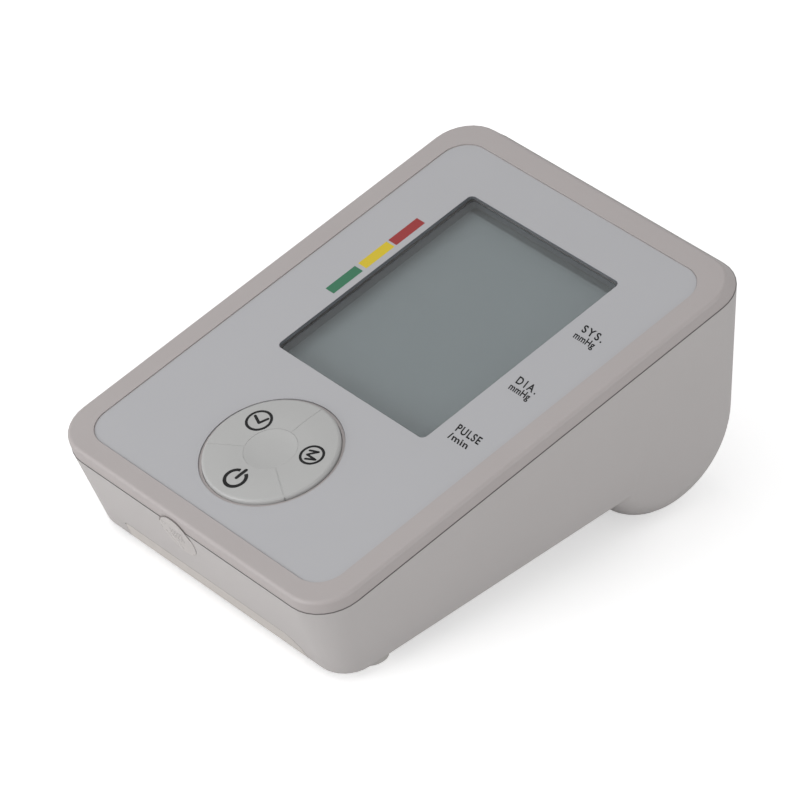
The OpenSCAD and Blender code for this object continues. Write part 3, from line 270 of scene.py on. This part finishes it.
# Screen-printed inks: opaque, the black matt and the colours a little glossy.
ink_black = moulded_plastic("ink_black", "#101011", "#0d0d0e", 0.6, 0.3, 0.002, specular=0.2)
ink_green = moulded_plastic("ink_green", "#136845", "#106241", 0.45, 0.3, 0.002)
ink_yellow = moulded_plastic("ink_yellow", "#d2b90e", "#ccb30a", 0.45, 0.3, 0.002)
ink_red = moulded_plastic("ink_red", "#900c0e", "#8a090b", 0.45, 0.3, 0.002)
# Feet: moulded elastomer, dull and a little uneven.
elastomer_foot = moulded_plastic("elastomer_foot", "#bdbab7", "#b2afac", 0.7, 0.4, 0.02, mottle_mm=3.0, sheen=0.2)
# Clear film seal: polyester that yellows a little and catches the light.
film_seal = moulded_plastic("polyester_seal", "#b9b4b2", "#b4afad", 0.28, 0.7, 0.004, mottle_mm=4.0)
# Painted shade along the film's lifted cut edge, and the faint grey of its pattern of dashes.
film_shade = moulded_plastic("painted_seal_edge_shade", "#726b69", "#6a6361", 0.6, 0.3, 0.002)
film_print = moulded_plastic("seal_print", "#8f8c8a", "#8a8785", 0.5, 0.3, 0.002)
# Inner parts, seen through the open door's gap and the joints. Natural white ABS, moulded without a finish.
inner_white = moulded_plastic("inner_moulding_white", "#dcdad4", "#d4d2cc", 0.5, 0.6, 0.01)
# Glass-filled nylon and epoxy packages: black, faintly shiny.
inner_black = moulded_plastic("inner_moulding_black", "#2c2c2e", "#262628", 0.45, 0.6, 0.01)
# Extruded silicone hose: milky, with a soft sheen.
silicone = moulded_plastic("silicone_rubber", "#bcc4c2", "#b2bab8", 0.55, 0.5, 0.01, sheen=0.1)
# Moulded black rubber: dull.
rubber_dark = moulded_plastic("rubber_dark", "#3a3a3c", "#333335", 0.7, 0.4, 0.02)
# Die-cut polyurethane foam: open cells about 0.6 mm across, so it looks matt and pitted.
foam_dark = moulded_plastic("foam_dark", "#505052", "#3c3c3e", 0.9, 0.6, 0.15, mottle_mm=1.2)
# Green solder mask over glass-epoxy board: an even, slightly glossy coat.
solder_mask = moulded_plastic("solder_mask_green", "#2d6b42", "#28633c", 0.35, 0.5, 0.01)
# Enamelled copper under clear tape: warm brown, slightly glossy.
winding_tape = moulded_plastic("winding_tape", "#a4673c", "#965c34", 0.4, 0.4, 0.02)
# Shrunk plastic sleeve on the cells: plain blue-grey, glossy.
cell_sleeve = moulded_plastic("cell_sleeve", "#5a6470", "#525c68", 0.3, 0.5, 0.004)
# Extruded PVC insulation of the leads: even red, half glossy.
wire_red = moulded_plastic("wire_insulation", "#a83a34", "#9c342f", 0.4, 0.4, 0.005)
# Zinc-plated steel: bluish, half bright. Nickel-plated spring steel: warmer and brighter.
zinc_steel = smooth_metal("zinc_plated_steel", "#c2c5c9", 0.34, 0.3)
nickel_spring = smooth_metal("nickel_spring_steel", "#c9c8c2", 0.24, 0.2)

NODE_FINISH = {
    "top_shell": abs_upper, "face_plate": panel_satin, "window_lens": acrylic, "bottom_shell": abs_lower,
    "battery_door": abs_door, "seal_film": film_seal, "front_foot_left": elastomer_foot,
    "front_foot_right": elastomer_foot, "rear_foot_left": elastomer_foot, "rear_foot_right": elastomer_foot,
    "power_key": key_satin, "memory_key": key_satin, "clock_key": key_satin, "key_hub": key_satin,
    "key_carrier": inner_white, "power_switch": inner_black, "memory_switch": inner_black,
    "clock_switch": inner_black, "power_switch_stem": inner_white, "memory_switch_stem": inner_white,
    "clock_switch_stem": inner_white, "lcd_panel": polariser, "lcd_frame": inner_white,
    "lcd_connectors": rubber_dark, "main_board": solder_mask, "controller_chip": inner_black,
    "board_parts": inner_black, "pressure_sensor": inner_black, "buzzer": inner_black,
    "board_screws": zinc_steel, "case_screws": zinc_steel, "pump_motor": zinc_steel, "motor_shaft": zinc_steel,
    "pump_housing": inner_white, "pump_diaphragm": rubber_dark, "pump_cover": inner_white,
    "pump_sleeve": foam_dark, "pump_clamp": inner_white, "clamp_screws": zinc_steel, "valve_yoke": zinc_steel,
    "valve_coil": winding_tape, "valve_plunger": zinc_steel, "air_manifold": inner_white,
    "hose_pump": silicone, "hose_valve": silicone, "hose_socket": silicone, "hose_sensor": silicone,
    "cuff_socket": abs_upper, "dc_socket": inner_black, "cell_1": cell_sleeve, "cell_2": cell_sleeve,
    "cell_3": cell_sleeve, "cell_4": cell_sleeve, "contact_plates": nickel_spring,
    "contact_springs": nickel_spring, "battery_leads": wire_red, "motor_leads": wire_red,
    "valve_leads": wire_red, "socket_leads": wire_red,
}

# ---------- the CAD nodes: finish, smooth curves, softened mould edges ----------

# Radius that the mould's steel leaves on an outer edge.
EDGE_ROUND = {"top_shell": 0.12, "bottom_shell": 0.28, "battery_door": 0.28, "face_plate": 0.08}
CREASE = math.radians(32)


def dress_node(name):
    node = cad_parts[name]
    node.data.materials.clear()
    node.data.materials.append(NODE_FINISH[name])
    for face in node.data.polygons:
        face.use_smooth = True
    weld = node.modifiers.new("weld", "WELD")
    weld.merge_threshold = mm(0.002)
    if name in EDGE_ROUND:
        rounded = node.modifiers.new("mould_edge", "BEVEL")
        rounded.width = mm(EDGE_ROUND[name])
        rounded.segments = 2
        rounded.limit_method = "ANGLE"
        rounded.angle_limit = math.radians(40)
        rounded.harden_normals = False
    split = node.modifiers.new("crease", "EDGE_SPLIT")
    split.split_angle = CREASE
    flat = node.modifiers.new("flat_faces_stay_flat", "WEIGHTED_NORMAL")
    flat.keep_sharp = True
    flat.weight = 90


for node_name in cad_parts:
    dress_node(node_name)

# ---------- pieces ----------


def make_piece(name, mesh, material, body, smooth=True):
    """Puts a mesh in the scene as a piece of the object that rides on a CAD body."""
    piece = bpy.data.objects.new(name, mesh)
    bpy.context.collection.objects.link(piece)
    mesh.materials.append(material)
    if smooth:
        mesh.shade_smooth()
        mesh.set_sharp_from_angle(angle=CREASE)
    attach(piece, body)
    return piece


def mesh_from(name, verts, faces):
    """A closed mesh whose faces all point outwards."""
    mesh = bpy.data.meshes.new(name)
    mesh.from_pydata([tuple(v) for v in verts], [], faces)
    bm = bmesh.new()
    bm.from_mesh(mesh)
    bmesh.ops.recalc_face_normals(bm, faces=bm.faces)
    bm.to_mesh(mesh)
    bm.free()
    mesh.update()
    return mesh


def joined_piece(name, solids, material, body, smooth=False):
    """One piece of several closed solids, each a list of points and a list of faces."""
    verts, faces = [], []
    for solid_verts, solid_faces in solids:
        offset = len(verts)
        verts += solid_verts
        faces += [tuple(offset + k for k in face) for face in solid_faces]
    return make_piece(name, mesh_from(name, verts, faces), material, body, smooth)


def ribbon(points, halves, closed):
    """Left and right edges of a flat stroke along points in the plane, with a half width for each point."""
    count = len(points)
    left, right = [], []
    for i, (x, y) in enumerate(points):
        before = points[(i - 1) % count] if closed or i > 0 else points[i]
        after = points[(i + 1) % count] if closed or i < count - 1 else points[i]
        dx, dy = after[0] - before[0], after[1] - before[1]
        length = math.hypot(dx, dy)
        side = (-dy / length * halves[i], dx / length * halves[i])
        left.append((x + side[0], y + side[1]))
        right.append((x - side[0], y - side[1]))
    return left, right


def slab(left, right, under, over, closed=False):
    """A thin closed slab between two edges, whose points under() and over() place below and above."""
    count = len(left)
    edges = left + right
    verts = [under(x, y) for x, y in edges] + [over(x, y) for x, y in edges]
    faces = []
    for i in range(count if closed else count - 1):
        j = (i + 1) % count
        low = (i, j, count + j, count + i)
        high = tuple(2 * count + k for k in reversed(low))
        faces += [low, high, (j, i, 2 * count + i, 2 * count + j),
                  (count + i, count + j, 3 * count + j, 3 * count + i)]
    if not closed:
        faces += [(0, count, 3 * count, 2 * count), (2 * count - 1, count - 1, 3 * count - 1, 4 * count - 1)]
    return verts, faces


def plate_height(x, v):
    """The plate is flat, and its surface is the face."""
    return 0.0


def key_height(x, v):
    """Height of the crowned keys' surface above the face."""
    r = math.hypot(x, v - KEYS_V)
    for (r0, n0), (r1, n1) in zip(KEY_CROWN, KEY_CROWN[1:]):
        if r <= r1:
            return n0 + (n1 - n0) * max(0.0, r - r0) / (r1 - r0)
    return KEY_CROWN[-1][1]


# Ink stands a little proud of its surface and reaches a little into it.
INK_TOP = 0.02
INK_ROOT = -0.05
# Where a round stroke end has its points, in degrees from its tip.
ROUND_END = (12, 30, 50, 70, 90)


def stroke(points, halves, height, closed=False):
    """An ink stroke that follows the surface below it, as a thin closed slab."""
    left, right = ribbon(points, halves, closed)
    return slab(left, right, lambda x, v: on_face(x, v, height(x, v) + INK_ROOT),
                lambda x, v: on_face(x, v, height(x, v) + INK_TOP), closed)


def line(start, end, width, height, steps=8):
    """A straight stroke with round ends that reach half its width past each end point."""
    radius = width / 2
    dx, dy = end[0] - start[0], end[1] - start[1]
    length = math.hypot(dx, dy)
    cap = [radius * (1 - math.cos(math.radians(degrees))) for degrees in ROUND_END]
    along = [c - radius for c in cap] + [length * i / steps for i in range(1, steps)]
    along += [length + radius - c for c in reversed(cap)]
    halves = []
    for d in along:
        past = max(0.0, -d, d - length)
        halves.append(math.sqrt(max(0.0, radius * radius - past * past)))
    points = [(start[0] + dx * d / length, start[1] + dy * d / length) for d in along]
    return stroke(points, halves, height)


def arc(centre, radius, start, end, steps=48):
    """Points along an arc, from a start to an end angle in degrees."""
    return [(centre[0] + radius * math.cos(math.radians(start + (end - start) * i / steps)),
             centre[1] + radius * math.sin(math.radians(start + (end - start) * i / steps))) for i in range(steps + 1)]


def full_ring(centre, radius, width):
    """A closed ring of ink on the keys."""
    points = arc(centre, radius, 0, 360)[:-1]
    return stroke(points, [width / 2] * len(points), key_height, closed=True)


def zigzag(points, width):
    """Straight strokes of ink on the keys, from point to point."""
    return [line(a, b, width, key_height) for a, b in zip(points, points[1:])]


# Icons on the keys, in millimetres on the face.
clock_lines = [(-11.34, 27.84), (-8.73, 26.76), (-7.95, 28.97)]
joined_piece("clock_icon", [full_ring((-9.4, 27.35), 3.05, 0.7)] + zigzag(clock_lines, 0.72), ink_black, "clock_key")

letter_lines = [(9.31, 25.62), (11.53, 26.83), (8.64, 26.84), (10.3, 28.98), (8.17, 28.11)]
joined_piece("memory_icon", [full_ring((9.7, 27.4), 2.8, 0.66)] + zigzag(letter_lines, 0.6), ink_black, "memory_key")

power_ring = arc((0.48, 11.35), 2.62, 110, 425)
power_lines = [stroke(power_ring, [0.45] * len(power_ring), key_height)]
power_lines += [line((0.63, 11.6), (0.61, 14.6), 0.9, key_height)]
joined_piece("power_icon", power_lines, ink_black, "power_key")

# ---------- hub of the round pad ----------


def lathe(profile, steps):
    """Rings of points turned about the keys' axis, from a list of (radius, height); the ends lie on the axis."""
    verts, faces = [], []
    for r, n in profile:
        verts += [on_face(r * math.cos(2 * math.pi * i / steps), KEYS_V + r * math.sin(2 * math.pi * i / steps), n)
                  for i in range(steps)]
    for k in range(len(profile) - 1):
        for i in range(steps):
            j = (i + 1) % steps
            faces.append((k * steps + i, k * steps + j, (k + 1) * steps + j, (k + 1) * steps + i))
    last = (len(profile) - 1) * steps
    faces.append(tuple(reversed(range(steps))))
    faces.append(tuple(last + i for i in range(steps)))
    return verts, faces


# Radii of a web's points, and its lower edge.
WEB_RADII = (6.4, 8.0, 10.02, 11.3, 12.525, 14.2, 15.9, 16.25, 16.5)
WEB_ROOT = -0.8


def web(degrees, half_width, drop):
    """A thin wall that stands in the gap between two keys, a little below their surface."""
    c, s = math.cos(math.radians(degrees)), math.sin(math.radians(degrees))
    points = [(r * c, KEYS_V + r * s) for r in WEB_RADII]
    left, right = ribbon(points, [half_width] * len(points), False)
    return slab(left, right, lambda x, v: on_face(x, v, WEB_ROOT),
                lambda x, v: on_face(x, v, key_height(x, v) - drop))


def make_hub():
    """The dished middle of the pad. It and its webs fill the gaps between the keys but for a hair's breadth."""
    wall = KEY_INNER - 0.03
    profile = [(wall, -0.9), (wall, 1.0), (wall - 0.06, 1.03), (wall - 0.35, 1.0), (5.6, 0.9), (4.8, 0.8),
               (3.6, 0.7), (2.2, 0.64), (0.8, 0.62), (0.02, 0.62)]
    webs = [web(degrees, 0.135, 0.05) for degrees in (90, 210, 330)]
    hub = joined_piece("dished_hub", [lathe(profile, 96)] + webs, key_satin, "case", smooth=True)
    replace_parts(hub, "key_hub")


make_hub()


def tube_round(centre, outline_outer, outline_inner, low, high):
    """A thin upright wall between two outlines of as many points each, on the face."""
    count = len(outline_outer)
    verts = []
    for outline in (outline_outer, outline_inner):
        for n in (low, high):
            verts += [on_face(centre[0] + x, centre[1] + v, n) for x, v in outline]
    faces = []
    for i in range(count):
        j = (i + 1) % count
        outer_low, outer_high, inner_low, inner_high = (k * count for k in range(4))
        faces.append((outer_low + i, outer_low + j, outer_high + j, outer_high + i))
        faces.append((inner_low + j, inner_low + i, inner_high + i, inner_high + j))
        faces.append((outer_high + i, outer_high + j, inner_high + j, inner_high + i))
        faces.append((outer_low + j, outer_low + i, inner_low + i, inner_low + j))
    return verts, faces


# The upper shell's collar in the plate's round hole, close round the keys.
collar_outline = [arc((0, 0), radius, 0, 360, 128)[:-1] for radius in (17.48, 16.82)]
joined_piece("pad_collar", [tube_round((0, KEYS_V), *collar_outline, -1.2, -0.3)], abs_upper, "case")


def round_rectangle(half_x, half_v, radius):
    """Outline of a rectangle with round corners about the origin."""
    points = []
    for sx, sv, start in ((1, 1, 0), (-1, 1, 90), (-1, -1, 180), (1, -1, 270)):
        points += arc((sx * (half_x - radius), sv * (half_v - radius)), radius, start, start + 90, 8)
    return points


WINDOW_MIDDLE = (WINDOW_FRONT + WINDOW_REAR) / 2
WINDOW_HALF_V = (WINDOW_REAR - WINDOW_FRONT) / 2
LINER_T = 0.03


def window_liner(grow, low, high):
    """A thin wall of dark print with painted shade along the window's outline, grown by a little, between two heights.
    """
    outer = round_rectangle(WINDOW_HALF + grow, WINDOW_HALF_V + grow, WINDOW_CORNER)
    inner = round_rectangle(WINDOW_HALF + grow - LINER_T, WINDOW_HALF_V + grow - LINER_T, WINDOW_CORNER - LINER_T)
    return tube_round((0, WINDOW_MIDDLE), outer, inner, low, high)


# A bead of adhesive stands in the gap round the plate.
bead_outlines = [round_rectangle(PLATE_HALF + out, PLATE_LENGTH / 2 + out, PLATE_CORNER + out) for out in (0.13, 0.02)]
joined_piece("plate_bead", [tube_round((0, PLATE_LENGTH / 2), *bead_outlines, -0.9, -0.05)], abs_upper, "case")

# Both liners are dark print with painted shade of the window's recess.
joined_piece("window_edge_print_and_shade", [window_liner(-0.02, -0.97, -0.04)], window_print_and_shade, "case")
joined_piece("display_border", [window_liner(0.26, -LCD_DEPTH + 0.03, LENS_LOW - 0.03)], window_print_and_shade, "case")

# ---------- seal film over the front seam ----------

# The film's middle and radius, how far its middle lies below the seam, and its two faces' heights over the wall.
FILM_X = -4.3
FILM_RADIUS = 6.0
FILM_BELOW = 3.85
FILM_UNDER = 0.02
FILM_TOP = 0.15
# Print and painted shade on the film stand this much proud of it.
MARK_RISE = 0.02


def film_point(x, s, out):
    """A point of the film's sheet: across, up the wall from the film's middle, and out of the wall.

    Above the seam the sheet follows the upper shell, whose band stands square to the face."""
    lower = math.radians(WALL_LEAN)
    upper = math.radians(FACE_TILT)
    low_part = min(s, FILM_BELOW)
    high_part = max(0.0, s - FILM_BELOW)
    along = WALL_HEIGHT - FILM_BELOW + low_part
    lean = lower if s <= FILM_BELOW else upper
    y = WALL_FOOT[0] - math.sin(lower) * along - math.sin(upper) * high_part - math.cos(lean) * out
    z = WALL_FOOT[1] + math.cos(lower) * along + math.cos(upper) * high_part - math.sin(lean) * out
    return Vector((mm(x), mm(y), mm(z)))


def film_disc(name, radius, under, over, material, rings=10, steps=72):
    """A round sheet in rings of points, so that it can bend where the walls meet."""
    verts, faces = [], []
    for out in (under, over):
        verts.append(film_point(FILM_X, 0, out))
        for k in range(1, rings + 1):
            verts += [film_point(FILM_X + radius * k / rings * math.cos(2 * math.pi * i / steps),
                                 radius * k / rings * math.sin(2 * math.pi * i / steps), out) for i in range(steps)]
    layer = 1 + rings * steps
    for base in (0, layer):
        for i in range(steps):
            j = (i + 1) % steps
            faces.append((base, base + 1 + i, base + 1 + j))
            for k in range(rings - 1):
                a = base + 1 + k * steps
                faces.append((a + i, a + steps + i, a + steps + j, a + j))
    edge = 1 + (rings - 1) * steps
    for i in range(steps):
        j = (i + 1) % steps
        faces.append((edge + j, edge + i, layer + edge + i, layer + edge + j))
    return make_piece(name, mesh_from(name, verts, faces), material, "case")


def film_mark(points, half):
    """A thin line on the film along (x, s) points."""
    left, right = ribbon(points, [half] * len(points), False)
    return slab(left, right, lambda x, s: film_point(FILM_X + x, s, FILM_TOP),
                lambda x, s: film_point(FILM_X + x, s, FILM_TOP + MARK_RISE))


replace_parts(film_disc("seal_sheet", FILM_RADIUS, FILM_UNDER, FILM_TOP, film_seal), "seal_film")
# Painted shade: a dark line along the film's upper cut edge.
joined_piece("seal_edge_shade", [film_mark(arc((0, 0), FILM_RADIUS - 0.06, 22, 158), 0.1)], film_shade, "case")
film_dashes = []
for row, s in enumerate((1.6, 0.9, 0.2, -0.5, -1.2)):
    row_start = -2.3 + 0.2 * (row % 2)
    film_dashes += [film_mark([(row_start + 0.95 * k, s), (row_start + 0.95 * k + 0.55, s)], 0.09) for k in range(5)]
joined_piece("seal_dashes", film_dashes, film_print, "case")

# ---------- joint round the battery door ----------


def flange_point(x, h, out):
    """A point of the front wall: across, its height over the underside's plane, and out of the wall."""
    slope, lean = math.radians(UNDER_SLOPE), math.radians(WALL_LEAN)
    y0 = UNDER_EDGE[0] - h * math.sin(slope)
    z0 = UNDER_EDGE[1] + h * math.cos(slope)
    off = out + math.cos(lean) * (y0 - WALL_FOOT[0]) + math.sin(lean) * (z0 - WALL_FOOT[1])
    along = -off / (math.cos(lean) * math.cos(slope) + math.sin(lean) * math.sin(slope))
    return Vector((mm(x), mm(y0 + along * math.cos(slope)), mm(z0 + along * math.sin(slope))))


# Half width of the painted shade line, and its two faces' heights over the wall.
JOINT_SHADE_HALF = 0.05
JOINT_SHADE_ROOT = -0.3
JOINT_SHADE_TOP = -0.03


def make_door_joint():
    """Painted shade: a dark strip in the gap between the door's flange and the shell."""
    half, high = DOOR_HALF + DOOR_GAP / 2, FLANGE_HEIGHT + DOOR_GAP / 2
    left_arc = arc((DOOR_MIDDLE - half + FLANGE_LEFT_R, high - FLANGE_LEFT_R), FLANGE_LEFT_R, 180, 90, 8)
    right_arc = arc((DOOR_MIDDLE + half - FLANGE_RIGHT_R, high - FLANGE_RIGHT_R), FLANGE_RIGHT_R, 90, 22, 24)
    points = [(DOOR_MIDDLE - half, 1.0)] + left_arc + right_arc
    left, right = ribbon(points, [JOINT_SHADE_HALF] * len(points), False)
    # The strip is painted shade of the joint.
    dust = slab(left, right, lambda x, h: flange_point(x, h, JOINT_SHADE_ROOT), lambda x, h: flange_point(x, h, JOINT_SHADE_TOP))
    joined_piece("door_joint_shade", [dust], painted_joint_shade, "case")


make_door_joint()

# ---------- printing on the plate ----------

# Reading scale beside the display: three colour bars in a row, each from its lower to its upper end.
BAR_MIDDLE = -29.8
BAR_HALF = 1.5
SCALE_BARS = (("green", ink_green, 67.6, 77.2), ("yellow", ink_yellow, 78.3, 87.6), ("red", ink_red, 88.2, 97.7))
for colour_name, ink, low, high in SCALE_BARS:
    bar = stroke([(BAR_MIDDLE, low), (BAR_MIDDLE, high)], [BAR_HALF, BAR_HALF], plate_height)
    joined_piece("scale_bar_" + colour_name, [bar], ink, "case")

# Height of a capital letter in the font at size 1, and the slant of the lettering.
CAP_HEIGHT = 0.729
LETTER_SLANT = -0.3
# The ink spreads by this much before the letters are fitted to their size.
INK_SPREAD = 0.022


def label(name, words, x, v, height, width, spacing):
    """A line of printed lettering on the plate, from its left end and baseline, fitted to a height and width."""
    curve = bpy.data.curves.new(name, "FONT")
    curve.body = words
    curve.size = mm(1.0)
    curve.space_character = spacing
    curve.shear = LETTER_SLANT
    curve.extrude = mm(INK_TOP / 2)
    curve.offset = mm(INK_SPREAD)
    curve.materials.append(ink_black)
    piece = bpy.data.objects.new(name, curve)
    bpy.context.collection.objects.link(piece)
    bpy.context.view_layer.update()
    fit = Matrix.Diagonal((mm(width) / piece.dimensions.x, height / CAP_HEIGHT, 1, 1))
    piece.matrix_world = FACE_FRAME @ Matrix.Translation((mm(x), mm(v), mm(INK_TOP / 2))) @ fit
    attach(piece, "case")
    return piece


# Name, words, left end, baseline, height, width and letter spacing.
LABELS = (
    ("label_systolic", "SYS.", 30.5, 94.5, 2.3, 7.3, 1.35),
    ("label_systolic_unit", "mmHg", 30.3, 91.95, 2.0, 7.2, 1.05),
    ("label_diastolic", "DIA.", 30.2, 73.3, 2.3, 7.3, 1.45),
    ("label_diastolic_unit", "mmHg", 30.3, 70.95, 2.0, 7.2, 1.05),
    ("label_pulse", "PULSE", 30.2, 53.95, 2.3, 8.6, 1.2),
    ("label_pulse_unit", "/min", 30.6, 51.3, 1.9, 6.6, 1.1),
)
for reading in LABELS:
    label(*reading)

# ---------- stage, light and camera ----------

# Light that the camera adds to the floor, how far the floor reaches each way in metres, and its drop below the feet.
FLOOR_LIFT = 0.5
FLOOR_HALF = 3.0
FLOOR_DROP = 0.05


def make_floor():
    """A pale floor, white to the camera except where the object shades it, and clear from below."""
    material, tree, output = new_material("pale_floor")
    matt = add_node(tree, "ShaderNodeBsdfDiffuse")
    matt.inputs["Color"].default_value = srgb("#f0f0f0")
    rays = add_node(tree, "ShaderNodeLightPath")
    lift = add_node(tree, "ShaderNodeEmission")
    lift.inputs["Color"].default_value = (1, 1, 1, 1)
    seen = add_node(tree, "ShaderNodeMath", [(0, rays.outputs["Is Camera Ray"])], operation="MULTIPLY")
    seen.inputs[1].default_value = FLOOR_LIFT
    tree.links.new(seen.outputs[0], lift.inputs["Strength"])
    both = add_node(tree, "ShaderNodeAddShader")
    tree.links.new(matt.outputs["BSDF"], both.inputs[0])
    tree.links.new(lift.outputs["Emission"], both.inputs[1])
    clear = add_node(tree, "ShaderNodeBsdfTransparent")
    side = add_node(tree, "ShaderNodeNewGeometry")
    sided = add_node(tree, "ShaderNodeMixShader", [("Fac", side.outputs["Backfacing"])])
    tree.links.new(both.outputs["Shader"], sided.inputs[1])
    tree.links.new(clear.outputs["BSDF"], sided.inputs[2])
    tree.links.new(sided.outputs["Shader"], output.inputs["Surface"])
    bm = bmesh.new()
    bmesh.ops.create_grid(bm, x_segments=2, y_segments=2, size=FLOOR_HALF)
    mesh = bpy.data.meshes.new("floor")
    bm.to_mesh(mesh)
    bm.free()
    mesh.materials.append(material)
    floor = bpy.data.objects.new("floor", mesh)
    floor.location.z = mm(-FLOOR_DROP)
    bpy.context.collection.objects.link(floor)


# Strength of the soft light from the room.
ROOM_LIGHT = 0.45


def make_world():
    """White where the camera, a reflection or a clear sheet looks past the object, and soft grey light elsewhere."""
    world = bpy.data.worlds.new("studio")
    bpy.context.scene.world = world
    world.use_nodes = True
    tree = world.node_tree
    tree.nodes.clear()
    rays = add_node(tree, "ShaderNodeLightPath")
    direct = add_node(tree, "ShaderNodeMath", [
        (0, rays.outputs["Is Camera Ray"]), (1, rays.outputs["Is Transmission Ray"])], operation="MAXIMUM")
    plain = add_node(tree, "ShaderNodeMath", [
        (0, direct.outputs[0]), (1, rays.outputs["Is Glossy Ray"])], operation="MAXIMUM")
    room = add_node(tree, "ShaderNodeBackground", Strength=ROOM_LIGHT)
    white = add_node(tree, "ShaderNodeBackground", Strength=1.0)
    mix = add_node(tree, "ShaderNodeMixShader", [("Fac", plain.outputs[0])])
    tree.links.new(room.outputs["Background"], mix.inputs[1])
    tree.links.new(white.outputs["Background"], mix.inputs[2])
    output = add_node(tree, "ShaderNodeOutputWorld")
    tree.links.new(mix.outputs["Shader"], output.inputs["Surface"])
    for background in (room, white):
        background.inputs["Color"].default_value = (1, 1, 1, 1)


def softbox(name, spot, target, side, power):
    """A square lamp, side metres across, at a spot and turned to a target, with its power in watts."""
    light = bpy.data.lights.new(name, "AREA")
    light.shape = "SQUARE"
    light.size = side
    light.energy = power
    lamp = bpy.data.objects.new(name, light)
    bpy.context.collection.objects.link(lamp)
    lamp.location = spot
    lamp.rotation_euler = (Vector(target) - Vector(spot)).to_track_quat("-Z", "Y").to_euler()


# Where the camera stands, in metres, where it looks, which way is its right, and its lens in millimetres.
CAMERA_SPOT = (0.8011, -0.696964, 0.7415)
CAMERA_FORWARD = (-0.6273, 0.5453, -0.5561)
CAMERA_RIGHT = (0.656, 0.7547, 0.0)
CAMERA_LENS = 242.7


def make_camera():
    """The photograph's viewing angle: 49 degrees round to the right, 34 degrees up, through a long lens."""
    camera_data = bpy.data.cameras.new("camera")
    camera_data.lens = CAMERA_LENS
    camera_data.sensor_width = 36.0
    camera_data.clip_end = 20.0
    camera = bpy.data.objects.new("camera", camera_data)
    bpy.context.collection.objects.link(camera)
    forward = Vector(CAMERA_FORWARD).normalized()
    up = Vector(CAMERA_RIGHT).cross(forward).normalized()
    right = forward.cross(up)
    turn = Matrix((right, up, -forward)).transposed().to_4x4()
    camera.matrix_world = Matrix.Translation(CAMERA_SPOT) @ turn
    bpy.context.scene.camera = camera


make_floor()
make_world()
softbox("overhead_softbox", (-0.25, -0.15, 0.9), (0, 0, 0.03), 0.9, 2.0)
softbox("front_softbox", (-0.25, -0.9, 0.16), (0, 0, 0.02), 0.6, 6.2)
softbox("side_softbox", (0.95, 0.1, 0.2), (0, 0, 0.03), 0.6, 2.9)
make_camera()
bpy.context.scene.view_settings.view_transform = "Standard"
